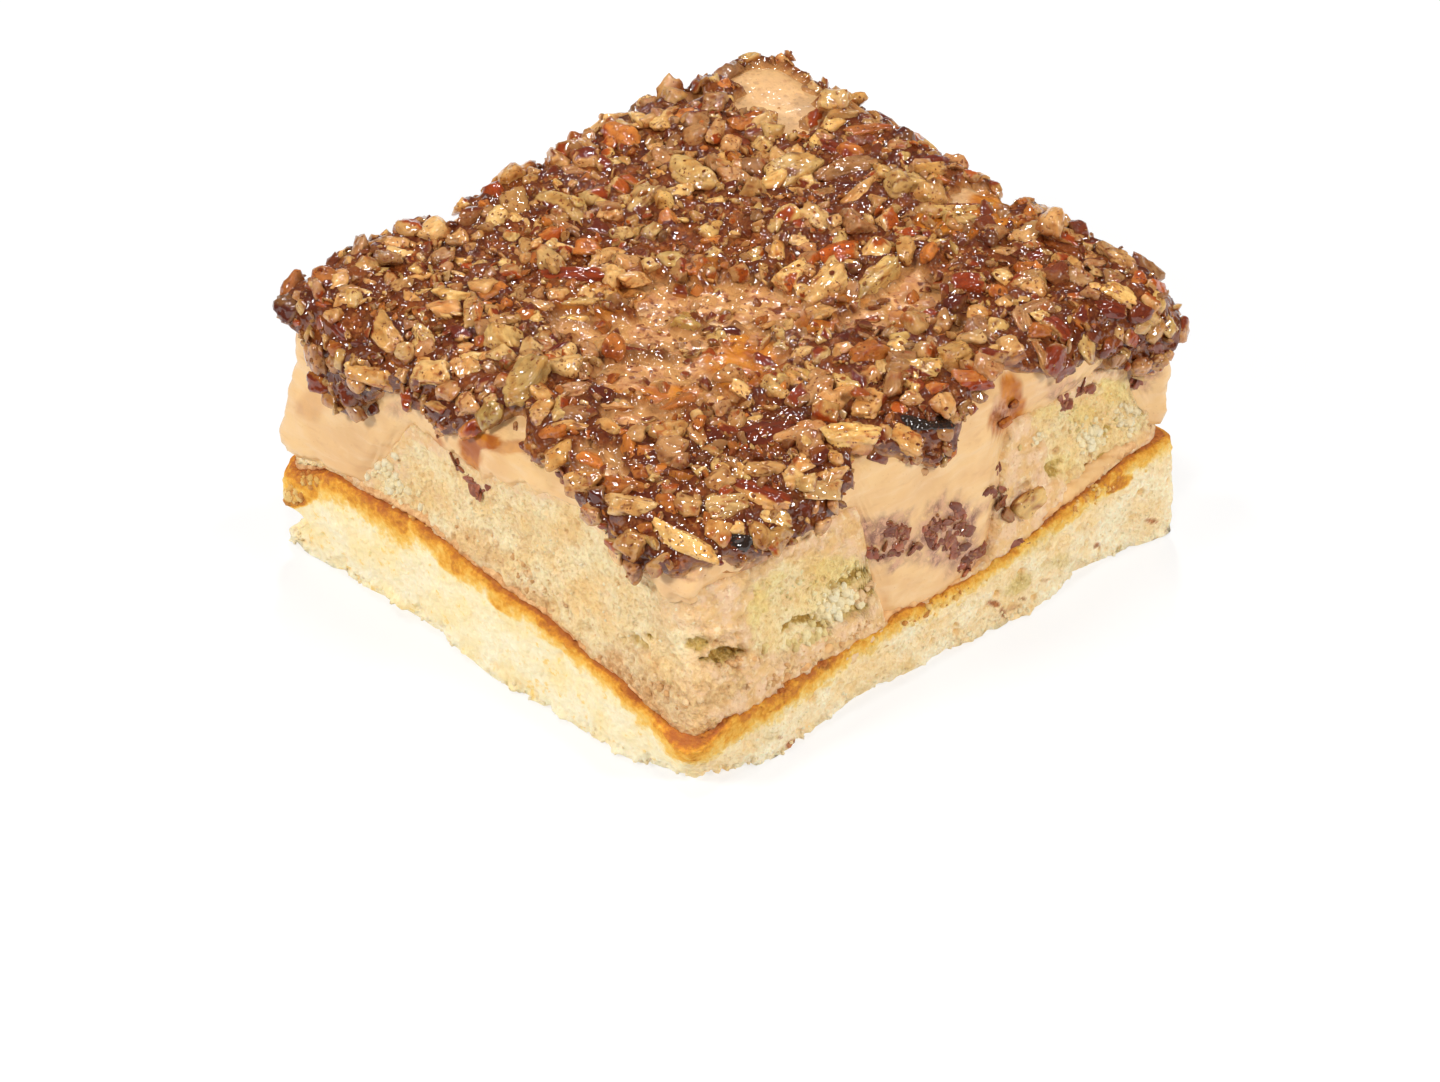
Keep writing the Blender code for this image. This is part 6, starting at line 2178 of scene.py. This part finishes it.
for place_of, count, sizes, tints in (
    ((292, 498, 10, 10, 0), 30, (0.4, 0.9), GOLD),
    ((310, 480, 14, 8, 20), 14, (0.3, 0.7), GOLD),
    ((296, 540, 14, 6, 20), 8, (0.2, 0.5), PALE),
    ((800, 722, 90, 14, -30), 30, (0.15, 0.4), PALE),
    ((960, 630, 90, 14, -31), 30, (0.15, 0.4), PALE),
    ((1120, 520, 60, 26, -32), 24, (0.15, 0.4), PALE),
    ((940, 606, 60, 5, -30), 24, (0.2, 0.5), GOLD),
    ((1090, 500, 60, 6, -32), 24, (0.2, 0.5), GOLD),
    ((400, 505, 80, 8, 36), 20, (0.2, 0.45), GOLD),
    ((1095, 492, 18, 6, -30), 14, (0.25, 0.6), GOLD),
):
    crumbs_seen(base_crumbs, base_tree, count, place_of, sizes, tints)

# along the lower edge all round, where the torn crumb hangs out a little
for k in range(170):
    s0 = rng.uniform(0, PERIMETER)
    x, y = outline(np.array(s0), 0.6 + 2.2 * float(bump(np.array(s0), WIDTH_X, 15.0)))
    near, normal, index, _ = base_tree.find_nearest(Vector((float(x), float(y), rng.uniform(0.4, 2.4))))
    normal = np.array(normal)
    if normal @ np.array([float(x), float(y), 0.0]) < 0:
        normal = -normal
    size = rng.uniform(0.15, 0.42)
    centre = np.array(near) - normal * size * 0.2
    centre[2] = max(centre[2], size * 1.05)
    crumb(base_crumbs, centre, normal, size, PALE)

for name, heap, node in (
    ("base_loose_crumbs", base_crumbs, "base_sponge"),
    ("upper_loose_crumbs", upper_crumbs, "upper_sponge"),
):
    points, faces, colours = heap.all()
    build(name, points, faces, node, CRUMB_MAT, colours={"tint": colours}, replaces=False)
    print(name, len(faces), "triangles")

for name, heap, material, sharp in (
    ("pecan_chunks", chunks, NUT_MAT, None),
    ("pecan_skinned_chunks", skins, SKIN_MAT, None),
    ("pecan_pieces", pieces, NUT_MAT, None),
    ("pecan_bits", bits, BIT_MAT, 50),
    ("pecan_crumbs", crumbs, BIT_MAT, 30),
    ("stray_pecans", strays, STRAY_MAT, 40),
):
    points, faces, colours = heap.all()
    build(name, points, faces, "pecan_topping", material, colours={"tint": colours}, replaces=False, sharp=sharp)
    print(name, len(faces), "triangles")

# ---------------------------------------------------------------------------------------------------------------------
# floor and light
# ---------------------------------------------------------------------------------------------------------------------

floor_mesh = bpy.data.meshes.new("floor")
floor_mesh.from_pydata([(-3, -3, 0), (3, -3, 0), (3, 3, 0), (-3, 3, 0)], [], [(0, 1, 2, 3)])
floor = bpy.data.objects.new("floor", floor_mesh)
bpy.context.scene.collection.objects.link(floor)
floor_material = bpy.data.materials.new("floor")
floor_material.use_nodes = True
floor_shader = floor_material.node_tree.nodes["Principled BSDF"]
floor_shader.inputs["Base Color"].default_value = (0.35, 0.35, 0.35, 1.0)
floor_shader.inputs["Roughness"].default_value = 0.7
floor_shader.inputs["Specular IOR Level"].default_value = 0.1
floor_shader.inputs["Emission Color"].default_value = (1.0, 1.0, 1.0, 1.0)
floor_shader.inputs["Emission Strength"].default_value = 0.63
floor_mesh.materials.append(floor_material)

world = bpy.data.worlds.new("studio")
bpy.context.scene.world = world
world.use_nodes = True
world.node_tree.nodes["Background"].inputs["Color"].default_value = (1.0, 1.0, 1.0, 1.0)
world.node_tree.nodes["Background"].inputs["Strength"].default_value = 0.11


def lamp(name, azimuth, elevation, distance, size, power, tint=(1.0, 1.0, 1.0)):
    a, e = math.radians(azimuth), math.radians(elevation)
    back = Vector((math.sin(a) * math.cos(e), -math.cos(a) * math.cos(e), math.sin(e)))
    data = bpy.data.lights.new(name, "AREA")
    data.shape = "DISK"
    data.size, data.energy, data.color = size, power, tint
    obj = bpy.data.objects.new(name, data)
    obj.location = back * distance + Vector((0, 0, 0.02))
    obj.rotation_mode = "QUATERNION"
    obj.rotation_quaternion = back.to_track_quat("Z", "Y")
    bpy.context.scene.collection.objects.link(obj)


lamp("softbox_left", -8, 38, 0.9, 0.20, 4.8)
lamp("softbox_right", 98, 36, 0.9, 0.18, 4.65)
lamp("softbox_back", 228, 50, 0.9, 0.09, 2.2)
lamp("spark_side", 165, 56, 0.9, 0.055, 1.15)
lamp("spark_front", 40, 68, 0.9, 0.055, 1.05)
lamp("spark_back", 290, 56, 0.9, 0.055, 1.15)

bpy.context.scene.view_settings.view_transform = "Standard"
bpy.context.scene.view_settings.look = "None"

print("cad box mm", [round(v * 1000, 2) for c in cad_box for v in c])
